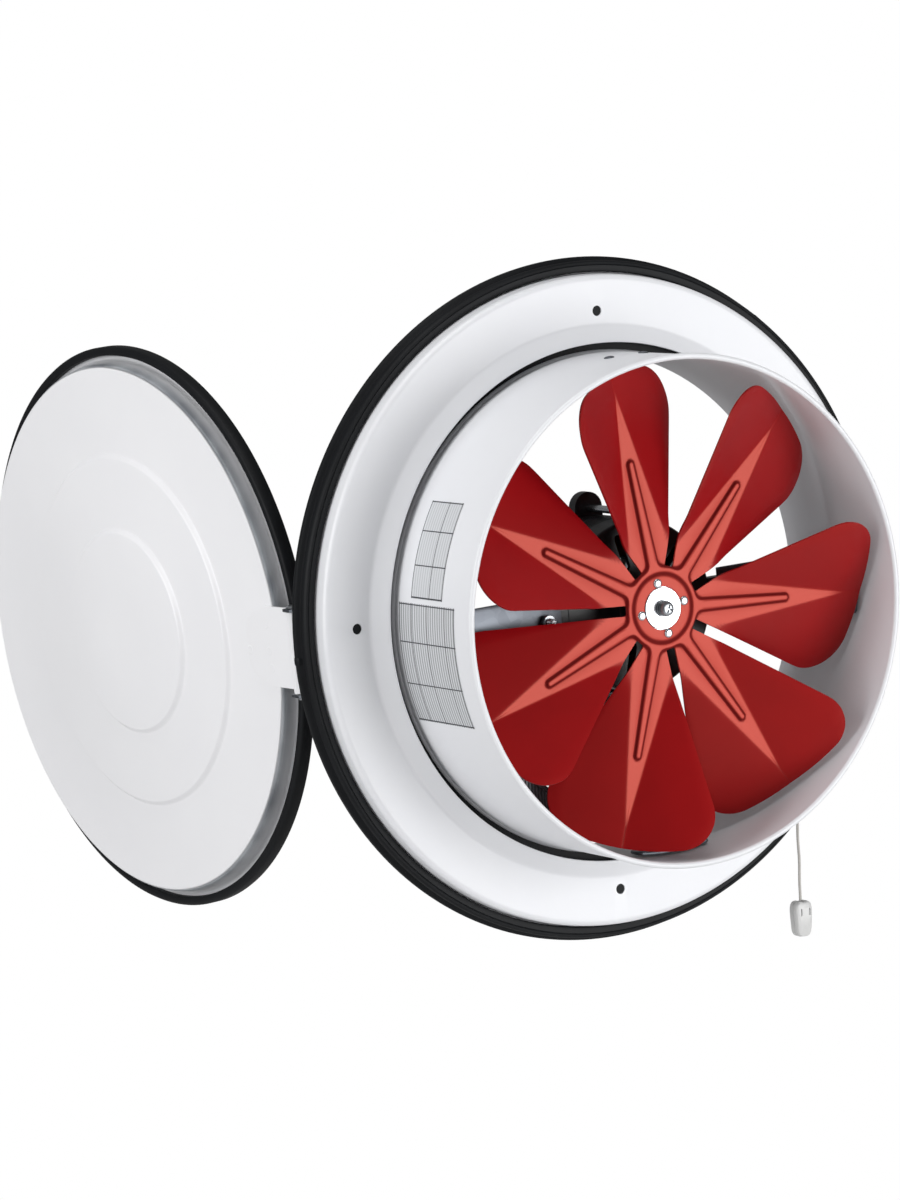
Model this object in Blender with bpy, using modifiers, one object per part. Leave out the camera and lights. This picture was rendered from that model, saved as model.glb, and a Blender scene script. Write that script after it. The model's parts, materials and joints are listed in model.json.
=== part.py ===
"""Wall exhaust fan: round plate, rolled drum, seven-blade impeller, swing lid and pull switch.

Metres, +Z up. The fan's axis is Y. The drum points towards -Y, into the duct, and +Y is the room.
The origin lies on the axis, in the front face of the mounting plate.
"""
import math

import bmesh
import bpy
from mathutils import Matrix, Vector

# Fits and facets
clearance = 0.0003
ring_steps = 32

# Drum
drum_bore_radius = 0.130
drum_wall = 0.0012
drum_front = 0.07715
drum_rear = 0.0198
lip_roll_radius = 0.00235

# Mounting plate
plate_wall = 0.001
plate_opening_gap = 0.0061
plate_cone_width = 0.0077
plate_cone_drop = 0.006
plate_flat_width = 0.0264
plate_corner_radius = 0.0034
plate_skirt_depth = 0.013
plate_rim_width = 0.0052
plate_hole_inset = 0.0075
plate_hole_radius = 0.00275
plate_gasket_overhang = 0.0035
plate_gasket_tail = 0.0046

# Ring that the lid closes on
seat_reach = 0.0164
seat_height = 0.0092
seat_land = 0.003
seat_collar = 0.007
seal_width = 0.0054
seal_height = 0.002

# Lid and hinge
lid_wall = 0.001
lid_depth = 0.0145
lid_step_height = 0.0024
lid_step_width = 0.0034
lid_inner_step_radius = 0.0534
lid_outer_step_radius = 0.0936
lid_flange_width = 0.003
lid_flange_height = 0.0041
lid_face_inset = 0.007
lid_gasket_width = 0.0029
hinge_offset = 0.018
hinge_depth = 0.031
hinge_tilt = math.radians(4.16)
lid_open_angle = math.radians(94.15)
leaf_wall = 0.0012
leaf_half_width = 0.0212
leaf_reach = 0.0236
pin_radius = 0.00175
knuckle_wall = 0.0015
bracket_wall = 0.0015
bracket_foot_width = 0.011

# Impeller
blade_count = 7
blade_tip_radius = 0.1255
blade_wall = 0.001
blade_first_angle = math.radians(101.8)
blade_slot = 0.0055
blade_near_fold = math.radians(31)
blade_far_fold = math.radians(22)
blade_near_fillet = 0.0185
blade_far_fillet = 0.0215
blade_fold_start = 0.028
blade_fold_end = 0.050
facet_tip_radius = 0.116
facet_slope = 0.15
star_height = 0.001
star_hub_radius = 0.021
ray_root_half_width = 0.0026
ray_tip_half_width = 0.0012
ray_tip_radius = 0.0784
ray_wall = 0.0009
impeller_front = 0.0512

# Hub, shaft and screw
hub_boss_radius = 0.011
hub_boss_proud = 0.00045
hub_flange_radius = 0.017
hub_flange_thickness = 0.002
hub_sleeve_radius = 0.007
hub_sleeve_rear = 0.0363
hub_rivet_circle = 0.0134
hub_rivet_head_radius = 0.0021
hub_rivet_radius = 0.0013
hub_rivet_head = 0.001
hub_rivet_angle = math.radians(14.5)
shaft_radius = 0.004
screw_radius = 0.0019
screw_head_radius = 0.0036
screw_head_height = 0.00245
screw_depth = 0.0066
spring_washer_radius = 0.004
spring_washer_thickness = 0.0009
flat_washer_radius = 0.0045
flat_washer_thickness = 0.0008

# Motor
motor_radius = 0.045
motor_front = 0.029
stack_front = 0.014
stack_rear = 0.004
motor_rear = 0.019
bell_wall = 0.0025
boss_radius = 0.012
boss_proud = 0.005
bearing_radius = 0.008
bearing_length = 0.010
air_gap = 0.001
rotor_radius = 0.0232
winding_gap = 0.0025
winding_length = 0.009
front_lug_reach = 0.0135
front_lug_radius = 0.008
lug_thickness = 0.006
rear_lug_reach = 0.004
rear_lug_radius = 0.0085
motor_turn = math.radians(3)
bolt_radius = 0.002
bolt_head_radius = 0.0035
bolt_head_height = 0.0028
nut_radius = 0.0039
nut_height = 0.0032
bolt_tip_proud = 0.0042

# Arms that carry the motor in the drum
arm_wall = 0.0015
arm_half_width = 0.013
arm_root_reach = 0.004
foot_half_width = 0.0225
foot_length = 0.0142

# Terminal box inside the drum
box_angle = math.radians(236)
box_depth = 0.0205
box_half_width = 0.018
box_front = 0.022
box_rear = 0.004
box_cover_thickness = 0.0024
box_screw_radius = 0.0013
box_screw_head_radius = 0.0025
box_screw_length = 0.009
gland_radius = 0.0055
gland_bore_radius = 0.003
gland_length = 0.010

# Pull switch behind the plate
switch_side_inset = 0.0354
switch_half_width = 0.010
switch_half_height = 0.0129
switch_low_inset = 0.0673
switch_front = 0.0195
switch_rear = 0.0395
switch_side_wall = 0.004
switch_wall = 0.0016
switch_cover_thickness = 0.0015
switch_foot_angle = math.radians(-36)
switch_foot_width = 0.016
slider_height = 0.006
slider_drop = 0.0032
stem_radius = 0.0015
spring_radius = 0.0032
spring_wire_radius = 0.00035
spring_turns = 4
guide_radius = 0.004
guide_height = 0.0042
cover_screw_radius = 0.001
cover_screw_head_radius = 0.0018
cover_screw_head = 0.0012
cover_screw_length = 0.008
cord_radius = 0.0008
cord_length = 0.0567
knob_half_width = 0.0055
knob_half_thickness = 0.00375
knob_height = 0.0196

# Places that follow from the sizes above
drum_radius = drum_bore_radius + drum_wall
ring_slack = 1 - math.cos(math.pi / ring_steps)
drum_inner_limit = drum_bore_radius * (1 - ring_slack)
plate_opening_radius = drum_radius + plate_opening_gap
plate_flat_inner = plate_opening_radius + plate_cone_width
plate_skirt_radius = plate_flat_inner + plate_flat_width
plate_hole_circle = plate_flat_inner + plate_hole_inset
seat_radius = drum_radius + seat_reach
lid_base = seat_height + clearance
lid_flange_radius = seat_radius + lid_flange_width
lid_gasket_radius = lid_flange_radius + lid_gasket_width
lid_face_radius = seat_radius - lid_face_inset
lid_face_depth = lid_base + lid_depth
hinge_radius = lid_gasket_radius + hinge_offset
bracket_foot_radius = lid_gasket_radius + 0.0025
hub_front = impeller_front + hub_boss_proud
flange_front = impeller_front - blade_wall - clearance
flange_rear = flange_front - hub_flange_thickness
shaft_front = hub_front - 0.00105
arm_front = motor_front + clearance + arm_wall
arm_rear = motor_front + clearance
foot_radius = drum_inner_limit - 0.0004
core_front = stack_front - clearance
core_rear = stack_rear - clearance
front_lug_circle = motor_radius + front_lug_reach
rear_lug_circle = motor_radius + rear_lug_reach
arm_root_radius = motor_radius + arm_root_reach
switch_x = plate_skirt_radius - switch_side_inset
switch_z = switch_low_inset - plate_skirt_radius
switch_top = switch_z + switch_half_height
switch_bottom = switch_z - switch_half_height
slider_y = (switch_front + switch_rear) / 2 + switch_wall / 2
side_names = ("right", "top", "left", "bottom")


def make_material(name, colour, roughness, metallic):
    """A plain shader with the part's colour."""
    material = bpy.data.materials.new(name)
    material.use_nodes = True
    shader = material.node_tree.nodes["Principled BSDF"]
    shader.inputs["Base Color"].default_value = (*colour, 1)
    shader.inputs["Roughness"].default_value = roughness
    shader.inputs["Metallic"].default_value = metallic
    return material


def place(obj, collection, material=None, parent=None):
    """Link an object, give it its material and hang it on its parent."""
    collection.objects.link(obj)
    if material:
        obj.data.materials.clear()
        obj.data.materials.append(material)
    if parent:
        obj.parent = parent
    return obj


def as_guide(obj):
    """Mark a cutter, which is no part of the object."""
    obj.hide_render = True
    obj.display_type = "WIRE"
    return obj


def evaluated_mesh(obj):
    """The mesh of an object after its modifiers."""
    graph = bpy.context.evaluated_depsgraph_get()
    return bpy.data.meshes.new_from_object(obj.evaluated_get(graph))


def settle(obj):
    """Replace an object's mesh by its evaluated one, with smooth shading and sharp edges."""
    mesh = evaluated_mesh(obj)
    obj.modifiers.clear()
    obj.data = mesh
    mesh.shade_smooth()
    mesh.set_sharp_from_angle(angle=math.radians(35))
    return obj


def turned_mesh(name, outline, closed, steps, wall=None):
    """Turn an outline of (radius, depth) points about the local Z axis."""
    mesh = bpy.data.meshes.new(name)
    count = len(outline)
    edges = [(i, i + 1) for i in range(count - 1)]
    if closed:
        edges.append((count - 1, 0))
    mesh.from_pydata([(radius, 0, depth) for radius, depth in outline], edges, [])
    obj = bpy.data.objects.new(name, mesh)
    bpy.context.scene.collection.objects.link(obj)
    screw = obj.modifiers.new("turn", "SCREW")
    screw.steps = steps
    screw.render_steps = steps
    screw.use_merge_vertices = True
    screw.merge_threshold = 0.00001
    if wall:
        shell = obj.modifiers.new("wall", "SOLIDIFY")
        shell.thickness = wall
        shell.offset = -1
        shell.use_even_offset = True
    result = evaluated_mesh(obj)
    bpy.data.objects.remove(obj)
    result.name = name
    return result


def turned(name, outline, material, closed=True, steps=ring_steps, wall=None, turn=None, parent=None,
           location=(0, 0, 0)):
    """A turned piece. Without a turn of its own its depth runs along the fan's axis, towards the room."""
    obj = bpy.data.objects.new(name, turned_mesh(name, outline, closed, steps, wall))
    place(obj, parts, material, parent)
    obj.rotation_euler = (-math.pi / 2, 0, 0) if turn is None else turn
    obj.location = location
    obj.data.shade_smooth()
    obj.data.set_sharp_from_angle(angle=math.radians(35))
    return obj


def gathered(name, mesh, matrices, material, collection, parent=None):
    """One object that holds a copy of a mesh at each place."""
    bm = bmesh.new()
    for matrix in matrices:
        copy = mesh.copy()
        copy.transform(matrix)
        bm.from_mesh(copy)
        bpy.data.meshes.remove(copy)
    joined = bpy.data.meshes.new(name)
    bm.to_mesh(joined)
    bm.free()
    joined.shade_smooth()
    joined.set_sharp_from_angle(angle=math.radians(35))
    return place(bpy.data.objects.new(name, joined), collection, material, parent)


def copies(names, mesh, matrices, material, parent=None):
    """An object for each name, which shares one mesh with the others and stands at its own place."""
    mesh.shade_smooth()
    mesh.set_sharp_from_angle(angle=math.radians(35))
    mesh.materials.append(material)
    for name, matrix in zip(names, matrices):
        obj = place(bpy.data.objects.new(name, mesh), parts, None, parent)
        obj.matrix_local = matrix


def drills(name, matrices, radius, rear, front, steps=8):
    """Cutters for round holes, from rear to front along each place's own Z axis."""
    outline = [(0, rear), (radius, rear), (radius, front), (0, front)]
    mesh = turned_mesh(name, outline, False, steps)
    return as_guide(gathered(name, mesh, matrices, None, cutters))


def carve(obj, tool, operation="DIFFERENCE"):
    """Cut or join one object with another and keep the result as a mesh."""
    bpy.context.view_layer.update()
    boolean = obj.modifiers.new(tool.name, "BOOLEAN")
    boolean.operation = operation
    boolean.object = tool
    return settle(obj)


def sheet(name, rows, wall, material, collection, parent=None):
    """A sheet with a wall behind it, through rows of points. It faces row direction x column direction."""
    columns = len(rows[0])
    points = [point for row in rows for point in row]
    faces = []
    for i in range(len(rows) - 1):
        for j in range(columns - 1):
            corner = i * columns + j
            faces.append((corner, corner + columns, corner + columns + 1, corner + 1))
    mesh = bpy.data.meshes.new(name)
    mesh.from_pydata(points, [], faces)
    obj = place(bpy.data.objects.new(name, mesh), collection, material, parent)
    shell = obj.modifiers.new("wall", "SOLIDIFY")
    shell.thickness = wall
    shell.offset = -1
    shell.use_even_offset = True
    return settle(obj)


def slab(name, outline, thickness, matrix, material, collection, parent=None):
    """A flat outline of (x, y) points with a thickness along its own Z axis."""
    curve = bpy.data.curves.new(name, "CURVE")
    curve.dimensions = "2D"
    curve.fill_mode = "BOTH"
    curve.extrude = thickness / 2
    spline = curve.splines.new("POLY")
    spline.points.add(len(outline) - 1)
    for point, (x, y) in zip(spline.points, outline):
        point.co = (x, y, 0, 1)
    spline.use_cyclic_u = True
    drawn = bpy.data.objects.new(name + "_outline", curve)
    bpy.context.scene.collection.objects.link(drawn)
    mesh = evaluated_mesh(drawn)
    bpy.data.objects.remove(drawn)
    bm = bmesh.new()
    bm.from_mesh(mesh)
    bmesh.ops.remove_doubles(bm, verts=bm.verts, dist=0.00001)
    bmesh.ops.recalc_face_normals(bm, faces=bm.faces)
    bm.to_mesh(mesh)
    bm.free()
    mesh.transform(matrix)
    return place(bpy.data.objects.new(name, mesh), collection, material, parent)


def block(name, low, high, material, collection, parent=None, turn=None):
    """A box between two corners, with a turn about the fan's axis if it has one."""
    mesh = bpy.data.meshes.new(name)
    bm = bmesh.new()
    bmesh.ops.create_cube(bm, size=1)
    size = Vector(high) - Vector(low)
    middle = (Vector(high) + Vector(low)) / 2
    matrix = Matrix.Translation(middle) @ Matrix.Diagonal((*size, 1))
    if turn:
        matrix = Matrix.Rotation(-turn, 4, "Y") @ matrix
    bm.transform(matrix)
    bm.to_mesh(mesh)
    bm.free()
    return place(bpy.data.objects.new(name, mesh), collection, material, parent)


def on_axis(radius, angle, depth=0):
    """A place at a radius and angle of the fan, with its Z axis towards the room."""
    spot = Vector((radius * math.cos(angle), depth, radius * math.sin(angle)))
    return Matrix.Translation(spot) @ Matrix.Rotation(-math.pi / 2, 4, "X")


def outwards(angle, depth):
    """A place on the fan's axis with its Z axis along a radius."""
    return Matrix.Translation((0, depth, 0)) @ Matrix.Rotation(math.pi / 2 - angle, 4, "Y")


def quarters(radius, start, depth=0):
    """Four places round the fan's axis, a quarter turn apart."""
    return [on_axis(radius, start + k * math.pi / 2, depth) for k in range(4)]


def arc(centre, radius, start, end, segments):
    """Points along an arc in the plane of an outline, angles in degrees."""
    points = []
    for i in range(segments + 1):
        angle = math.radians(start + (end - start) * i / segments)
        points.append((centre[0] + radius * math.cos(angle), centre[1] + radius * math.sin(angle)))
    return points


def make_drum():
    """Rolled sheet cylinder with a rolled lip at its front."""
    lip_centre = (drum_radius + lip_roll_radius, -(drum_front - drum_wall - lip_roll_radius))
    outline = [(drum_radius, drum_rear)] + arc(lip_centre, lip_roll_radius, 180, 360, 4)
    return turned("drum", outline, white_enamel, closed=False, wall=drum_wall)


def make_plate():
    """Pressed plate: inner cone, flat flange with four holes, and a skirt that turns back to a rim."""
    flat_outer = plate_skirt_radius - plate_corner_radius
    outline = [
        (plate_skirt_radius + plate_rim_width + 0.0004, plate_skirt_depth),
        (plate_skirt_radius + 0.0019, plate_skirt_depth),
        (plate_skirt_radius + 0.0004, plate_skirt_depth - 0.0015),
    ]
    outline += arc((flat_outer, plate_corner_radius), plate_corner_radius, 0, -90, 3)
    outline += [
        (plate_flat_inner, 0),
        (plate_opening_radius + 0.0015, -plate_cone_drop + 0.0008),
        (plate_opening_radius, -plate_cone_drop),
    ]
    plate = turned("mounting_plate", outline, white_enamel, closed=False, wall=plate_wall)
    holes = drills("plate_holes", quarters(plate_hole_circle, 0), plate_hole_radius,
                   plate_wall + 0.002, -0.002, 12)
    return carve(plate, holes)


def make_plate_gasket():
    """Rubber moulding whose groove grips the plate's rim."""
    rim = plate_skirt_radius + plate_rim_width + 0.0004
    inner = plate_skirt_radius + 0.0011
    outer = rim + plate_gasket_overhang
    low = plate_skirt_depth - clearance
    high = plate_skirt_depth + plate_wall + clearance
    outline = [
        (outer, high + plate_gasket_tail - 0.0003),
        (outer, high + 0.0007),
        (rim + 0.0009, low + 0.0005),
        (rim + 0.0016, low - 0.0010),
        (rim + 0.0012, low - 0.0044),
        (inner, low - 0.0044),
        (inner, low - 0.0015),
        (inner + 0.0017, low),
        (rim + clearance, low),
        (rim + clearance, high),
        (inner + 0.0015, high),
        (inner + 0.0015, high + plate_gasket_tail - 0.0003),
    ]
    return turned("plate_gasket", outline, black_rubber)


def make_seat_ring():
    """Pressed ring, welded round the drum and to the plate's back, whose rim the lid closes on."""
    back = plate_wall + clearance
    collar_radius = drum_radius + clearance
    outline = [
        (seat_radius, seat_height),
        (seat_radius, back),
        (seat_radius - seat_land, back),
        (seat_radius - seat_land - 0.002, back + 0.0018),
        (collar_radius, back + 0.0018),
        (collar_radius, back + 0.0018 + seat_collar),
    ]
    return turned("lid_seat_ring", outline, white_enamel, closed=False, wall=drum_wall)


def make_seal():
    """Black ring that fills the corner between the drum and the seat ring."""
    inner = drum_radius + clearance
    rear = plate_wall + 0.0018
    outline = [
        (inner + seal_width, rear),
        (inner + seal_width, rear - seal_height),
        (inner, rear - seal_height),
        (inner, rear),
    ]
    return turned("drum_seal", outline, black_rubber)


def arm_rows(angle):
    """Rows of points over one arm: a flat strip, a bend at the wall and a wider foot on it."""
    bend = arm_wall + 0.0003
    path = [
        (arm_root_radius, -arm_rear, arm_half_width, 0),
        (foot_radius - 0.012, -arm_rear, arm_half_width, 0),
        (foot_radius - bend, -arm_rear, arm_half_width, 1),
        (foot_radius - 0.0005, -arm_rear - 0.0005, arm_half_width + 0.002, 1),
        (foot_radius, -arm_rear - bend, foot_half_width - 0.002, 1),
        (foot_radius, -arm_rear - foot_length + 0.002, foot_half_width, 1),
        (foot_radius, -arm_rear - foot_length, foot_half_width - 0.002, 1),
    ]
    rows = []
    for radius, depth, half_width, curved in path:
        row = []
        for step in (1, 0.35, -0.35, -1):
            across = half_width * step
            if curved:
                turn = angle + across / foot_radius
                row.append(Vector((radius * math.cos(turn), depth, radius * math.sin(turn))))
            else:
                flat = Vector((radius, depth, across))
                row.append(Matrix.Rotation(-angle, 3, "Y") @ flat)
        rows.append(row)
    return rows


def make_arms():
    """Four galvanised arms from the motor's front lugs to the drum's wall."""
    bolt_holes = drills("arm_bolt_holes", quarters(front_lug_circle, motor_turn), bolt_radius + clearance,
                        -arm_rear + 0.002, -arm_front - 0.002)
    for k, side in enumerate(side_names):
        rows = arm_rows(motor_turn + k * math.pi / 2)
        arm = sheet("bracket_arm_" + side, rows, arm_wall, galvanised, parts)
        carve(arm, bolt_holes)


def lug(name, circle, radius, angle, rear, front):
    """A rounded lug that grows out of a bell's wall."""
    root = motor_radius - bell_wall * 0.6
    outline = [(root, -radius), (circle, -radius)]
    outline += arc((circle, 0), radius, -60, 60, 3)
    outline += [(circle, radius), (root, radius)]
    stand = Matrix.Rotation(-angle, 4, "Y") @ Matrix.Translation((0, (rear + front) / 2, 0))
    matrix = stand @ Matrix.Rotation(math.pi / 2, 4, "X")
    return as_guide(slab(name, outline, rear - front, matrix, None, cutters))


def make_bells():
    """Front and rear bells of the motor, with a bearing boss and four lugs each."""
    seat = bearing_radius + clearance
    inner = motor_radius - bell_wall
    floor = bell_wall
    front_outline = [
        (motor_radius, -stack_front),
        (motor_radius, -motor_front + 0.002),
        (motor_radius - 0.002, -motor_front),
        (boss_radius, -motor_front),
        (boss_radius, -motor_front - boss_proud),
        (seat, -motor_front - boss_proud),
        (seat, -motor_front - boss_proud + bearing_length + 0.001),
        (boss_radius, -motor_front - boss_proud + bearing_length + 0.001),
        (boss_radius, -motor_front + floor),
        (inner, -motor_front + floor),
        (inner, -stack_front),
    ]
    front = turned("motor_front_bell", front_outline, black_paint, steps=20)
    rear_outline = [
        (boss_radius, motor_rear + 0.001),
        (boss_radius, motor_rear),
        (motor_radius - 0.002, motor_rear),
        (motor_radius, motor_rear - 0.002),
        (motor_radius, stack_rear),
        (inner, stack_rear),
        (inner, motor_rear - floor),
        (boss_radius, motor_rear - floor),
        (boss_radius, motor_rear - bearing_length),
        (seat, motor_rear - bearing_length),
        (seat, motor_rear + 0.001),
    ]
    rear = turned("motor_rear_bell", rear_outline, black_paint, steps=20)
    for k in range(4):
        angle = motor_turn + k * math.pi / 2
        carve(front, lug("front_lug_%d" % k, front_lug_circle, front_lug_radius, angle,
                         -motor_front + lug_thickness, -motor_front), "UNION")
        carve(rear, lug("rear_lug_%d" % k, rear_lug_circle, rear_lug_radius, angle,
                        motor_rear - 0.001, motor_rear - 0.001 - lug_thickness), "UNION")
    hole = bolt_radius + clearance
    carve(front, drills("front_arm_holes", quarters(front_lug_circle, motor_turn), hole,
                        -motor_front + lug_thickness + 0.002, -motor_front - 0.002))
    carve(front, drills("front_tie_holes", quarters(rear_lug_circle, motor_turn), hole,
                        -motor_front + lug_thickness + 0.002, -motor_front - 0.002))
    carve(rear, drills("rear_tie_holes", quarters(rear_lug_circle, motor_turn), hole,
                       motor_rear + 0.002, motor_rear - lug_thickness - 0.003))


def make_bolts():
    """Arm bolts with their nuts, and the long bolts that tie the two bells together."""
    start = -motor_front + lug_thickness + clearance
    nut_rear = -arm_front - clearance
    nut_front = nut_rear - nut_height
    tip = nut_front - bolt_tip_proud
    outline = [
        (0, start + bolt_head_height),
        (bolt_head_radius, start + bolt_head_height),
        (bolt_head_radius, start),
        (bolt_radius, start),
        (bolt_radius, tip),
        (0, tip),
    ]
    mesh = turned_mesh("arm_bolt", outline, False, 6)
    copies(["arm_bolt_" + side for side in side_names], mesh, quarters(front_lug_circle, motor_turn), zinc)

    hole = bolt_radius + clearance
    outline = [(nut_radius, nut_rear), (nut_radius, nut_front), (hole, nut_front), (hole, nut_rear)]
    mesh = turned_mesh("arm_nut", outline, True, 6)
    copies(["arm_nut_" + side for side in side_names], mesh, quarters(front_lug_circle, motor_turn), zinc)

    start = motor_rear - 0.001 + clearance
    tip = -motor_front + 0.0008
    outline = [
        (0, start + bolt_head_height),
        (bolt_head_radius, start + bolt_head_height),
        (bolt_head_radius, start),
        (bolt_radius, start),
        (bolt_radius, tip),
        (0, tip),
    ]
    mesh = turned_mesh("tie_bolt", outline, False, 6)
    spots = quarters(rear_lug_circle, motor_turn)
    copies(["motor_tie_bolt_" + side for side in side_names], mesh, spots, zinc)


def bush(name, outer, inner, rear, front, material, steps, parent=None):
    """A plain ring about the fan's axis."""
    outline = [(outer, rear), (outer, front), (inner, front), (inner, rear)]
    return turned(name, outline, material, steps=steps, parent=parent)


def make_motor_inside():
    """Stator, winding, rotor, shaft and its two sintered bearings."""
    stator_bore = rotor_radius + air_gap
    bush("stator_core", motor_radius, stator_bore, core_rear, -core_front, black_paint, 20)
    inner = stator_bore + 0.0028
    outer = motor_radius - bell_wall - winding_gap
    front_end = [
        (outer, -stack_front),
        (outer, -stack_front - winding_length),
        (inner, -stack_front - winding_length),
        (inner, -stack_front),
    ]
    rear_end = [
        (outer, stack_rear + winding_length),
        (outer, stack_rear),
        (inner, stack_rear),
        (inner, stack_rear + winding_length),
    ]
    turned("front_winding", front_end, copper, steps=16)
    turned("rear_winding", rear_end, copper, steps=16)
    bore = shaft_radius + 0.00035
    front = -motor_front - boss_proud + 0.0005
    bush("front_bearing", bearing_radius, bore, front + bearing_length, front, bronze, 12)
    rear = motor_rear + 0.0005
    bush("rear_bearing", bearing_radius, bore, rear, rear - bearing_length + 0.001, bronze, 12)
    bush("rotor", rotor_radius, shaft_radius + clearance, core_rear, -core_front, steel, 20, spin_frame)
    blind = screw_radius + clearance
    outline = [
        (0, motor_rear),
        (shaft_radius, motor_rear),
        (shaft_radius, -shaft_front),
        (blind, -shaft_front),
        (blind, -shaft_front + screw_depth + 0.0005),
        (0, -shaft_front + screw_depth + 0.0005),
    ]
    turned("motor_shaft", outline, steel, closed=False, steps=16, parent=spin_frame)


def blade_edge(radius, fillet):
    """Angle from a blade's middle line to its edge, in the flat sheet, at a radius."""
    half_sector = math.pi / blade_count
    gap = blade_slot / 2
    fillet_circle = blade_tip_radius - fillet
    fillet_angle = half_sector - math.asin((gap + fillet) / fillet_circle)
    straight_end = math.hypot(math.sqrt(fillet_circle ** 2 - (gap + fillet) ** 2), gap)
    if radius <= star_hub_radius + 0.0016:
        return half_sector
    if radius <= straight_end:
        return half_sector - math.asin(gap / radius)
    spread = (radius ** 2 + fillet_circle ** 2 - fillet ** 2) / (2 * radius * fillet_circle)
    return fillet_angle + math.acos(min(1, spread))


def facet_half_width(radius):
    """Half width of the flat facet down a blade's middle."""
    return max(facet_slope * (facet_tip_radius - radius), 0.0008)


def blade_row(radius, side, fillet):
    """Angles of the ray's two lines, the facet's edge and the blade's edge at a radius."""
    edge = blade_edge(radius, fillet)
    along = (radius - star_hub_radius) / (ray_tip_radius - star_hub_radius)
    taper = ray_root_half_width + (ray_tip_half_width - ray_root_half_width) * min(max(along, 0), 1)
    facet = facet_half_width(radius)
    inner = math.asin(min(taper, facet * 0.35, radius * math.sin(edge * 0.35)) / radius)
    outer = math.asin(min(taper + ray_wall, facet * 0.65, radius * math.sin(edge * 0.6)) / radius)
    fold = math.asin(min(facet, radius * math.sin(edge * 0.82)) / radius)
    return [side * inner, side * outer, side * fold, side * edge]


def blade_point(radius, angle, level):
    """A point of the flat sheet after the blade is folded, before it is turned into place."""
    along = radius * math.cos(angle)
    across = radius * math.sin(angle)
    share = min(max((radius - blade_fold_start) / (blade_fold_end - blade_fold_start), 0), 1)
    fold = share * share * (3 - 2 * share)
    fold *= blade_near_fold if angle > 0 else blade_far_fold
    spare = max(abs(across) - facet_half_width(radius), 0)
    side = math.copysign(1, angle)
    across = side * (abs(across) - spare + spare * math.cos(fold))
    depth = -impeller_front + level - side * spare * math.sin(fold)
    return Vector((along, depth, across))


def make_impeller():
    """One pressed sheet: a raised hub and seven raised rays, and blades folded out of plane on both sides."""
    hub_edge = star_hub_radius + ray_wall
    slot_end = star_hub_radius + 0.0016
    plain = [0.031, 0.038, 0.047, 0.060]
    radii = [hub_boss_radius + clearance, star_hub_radius, hub_edge, slot_end, slot_end + blade_slot / 2]
    radii += [radius for radius in plain if slot_end + blade_slot < radius < ray_tip_radius - 0.004]
    radii += [ray_tip_radius, ray_tip_radius + 0.0012]
    tip_start = blade_tip_radius - blade_far_fillet
    radii += [(ray_tip_radius + 0.0012 + tip_start) / 2]
    radii += [tip_start + blade_far_fillet * math.sin(math.pi / 2 * i / 5) for i in range(6)]
    bm = bmesh.new()
    for k in range(blade_count):
        turn = Matrix.Rotation(-(blade_first_angle - k * 2 * math.pi / blade_count), 3, "Y")
        grid = []
        for radius in radii:
            near = blade_row(radius, 1, blade_near_fillet)
            far = blade_row(radius, -1, blade_far_fillet)
            angles = near[::-1] + far
            row = []
            for angle, column in zip(angles, (3, 2, 1, 0, 0, 1, 2, 3)):
                on_ray = column == 0 and radius <= ray_tip_radius
                level = 0 if on_ray or radius <= star_hub_radius else star_height
                row.append(bm.verts.new(turn @ blade_point(radius, angle, level)))
            grid.append(row)
        for i in range(len(grid) - 1):
            for j in range(7):
                bm.faces.new((grid[i][j], grid[i][j + 1], grid[i + 1][j + 1], grid[i + 1][j]))
    bmesh.ops.remove_doubles(bm, verts=bm.verts, dist=0.00002)
    bmesh.ops.recalc_face_normals(bm, faces=bm.faces)
    bm.faces.ensure_lookup_table()
    if bm.faces[0].normal.y > 0:
        bmesh.ops.reverse_faces(bm, faces=bm.faces)
    mesh = bpy.data.meshes.new("impeller")
    bm.to_mesh(mesh)
    bm.free()
    impeller = place(bpy.data.objects.new("impeller", mesh), parts, red_paint, spin_frame)
    shell = impeller.modifiers.new("wall", "SOLIDIFY")
    shell.thickness = blade_wall
    shell.offset = -1
    shell.use_even_offset = True
    settle(impeller)
    spots = quarters(hub_rivet_circle, hub_rivet_angle)
    holes = drills("impeller_rivet_holes", spots, hub_rivet_radius + clearance,
                   -impeller_front + blade_wall + 0.001, -impeller_front - 0.001)
    return carve(impeller, holes)


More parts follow.
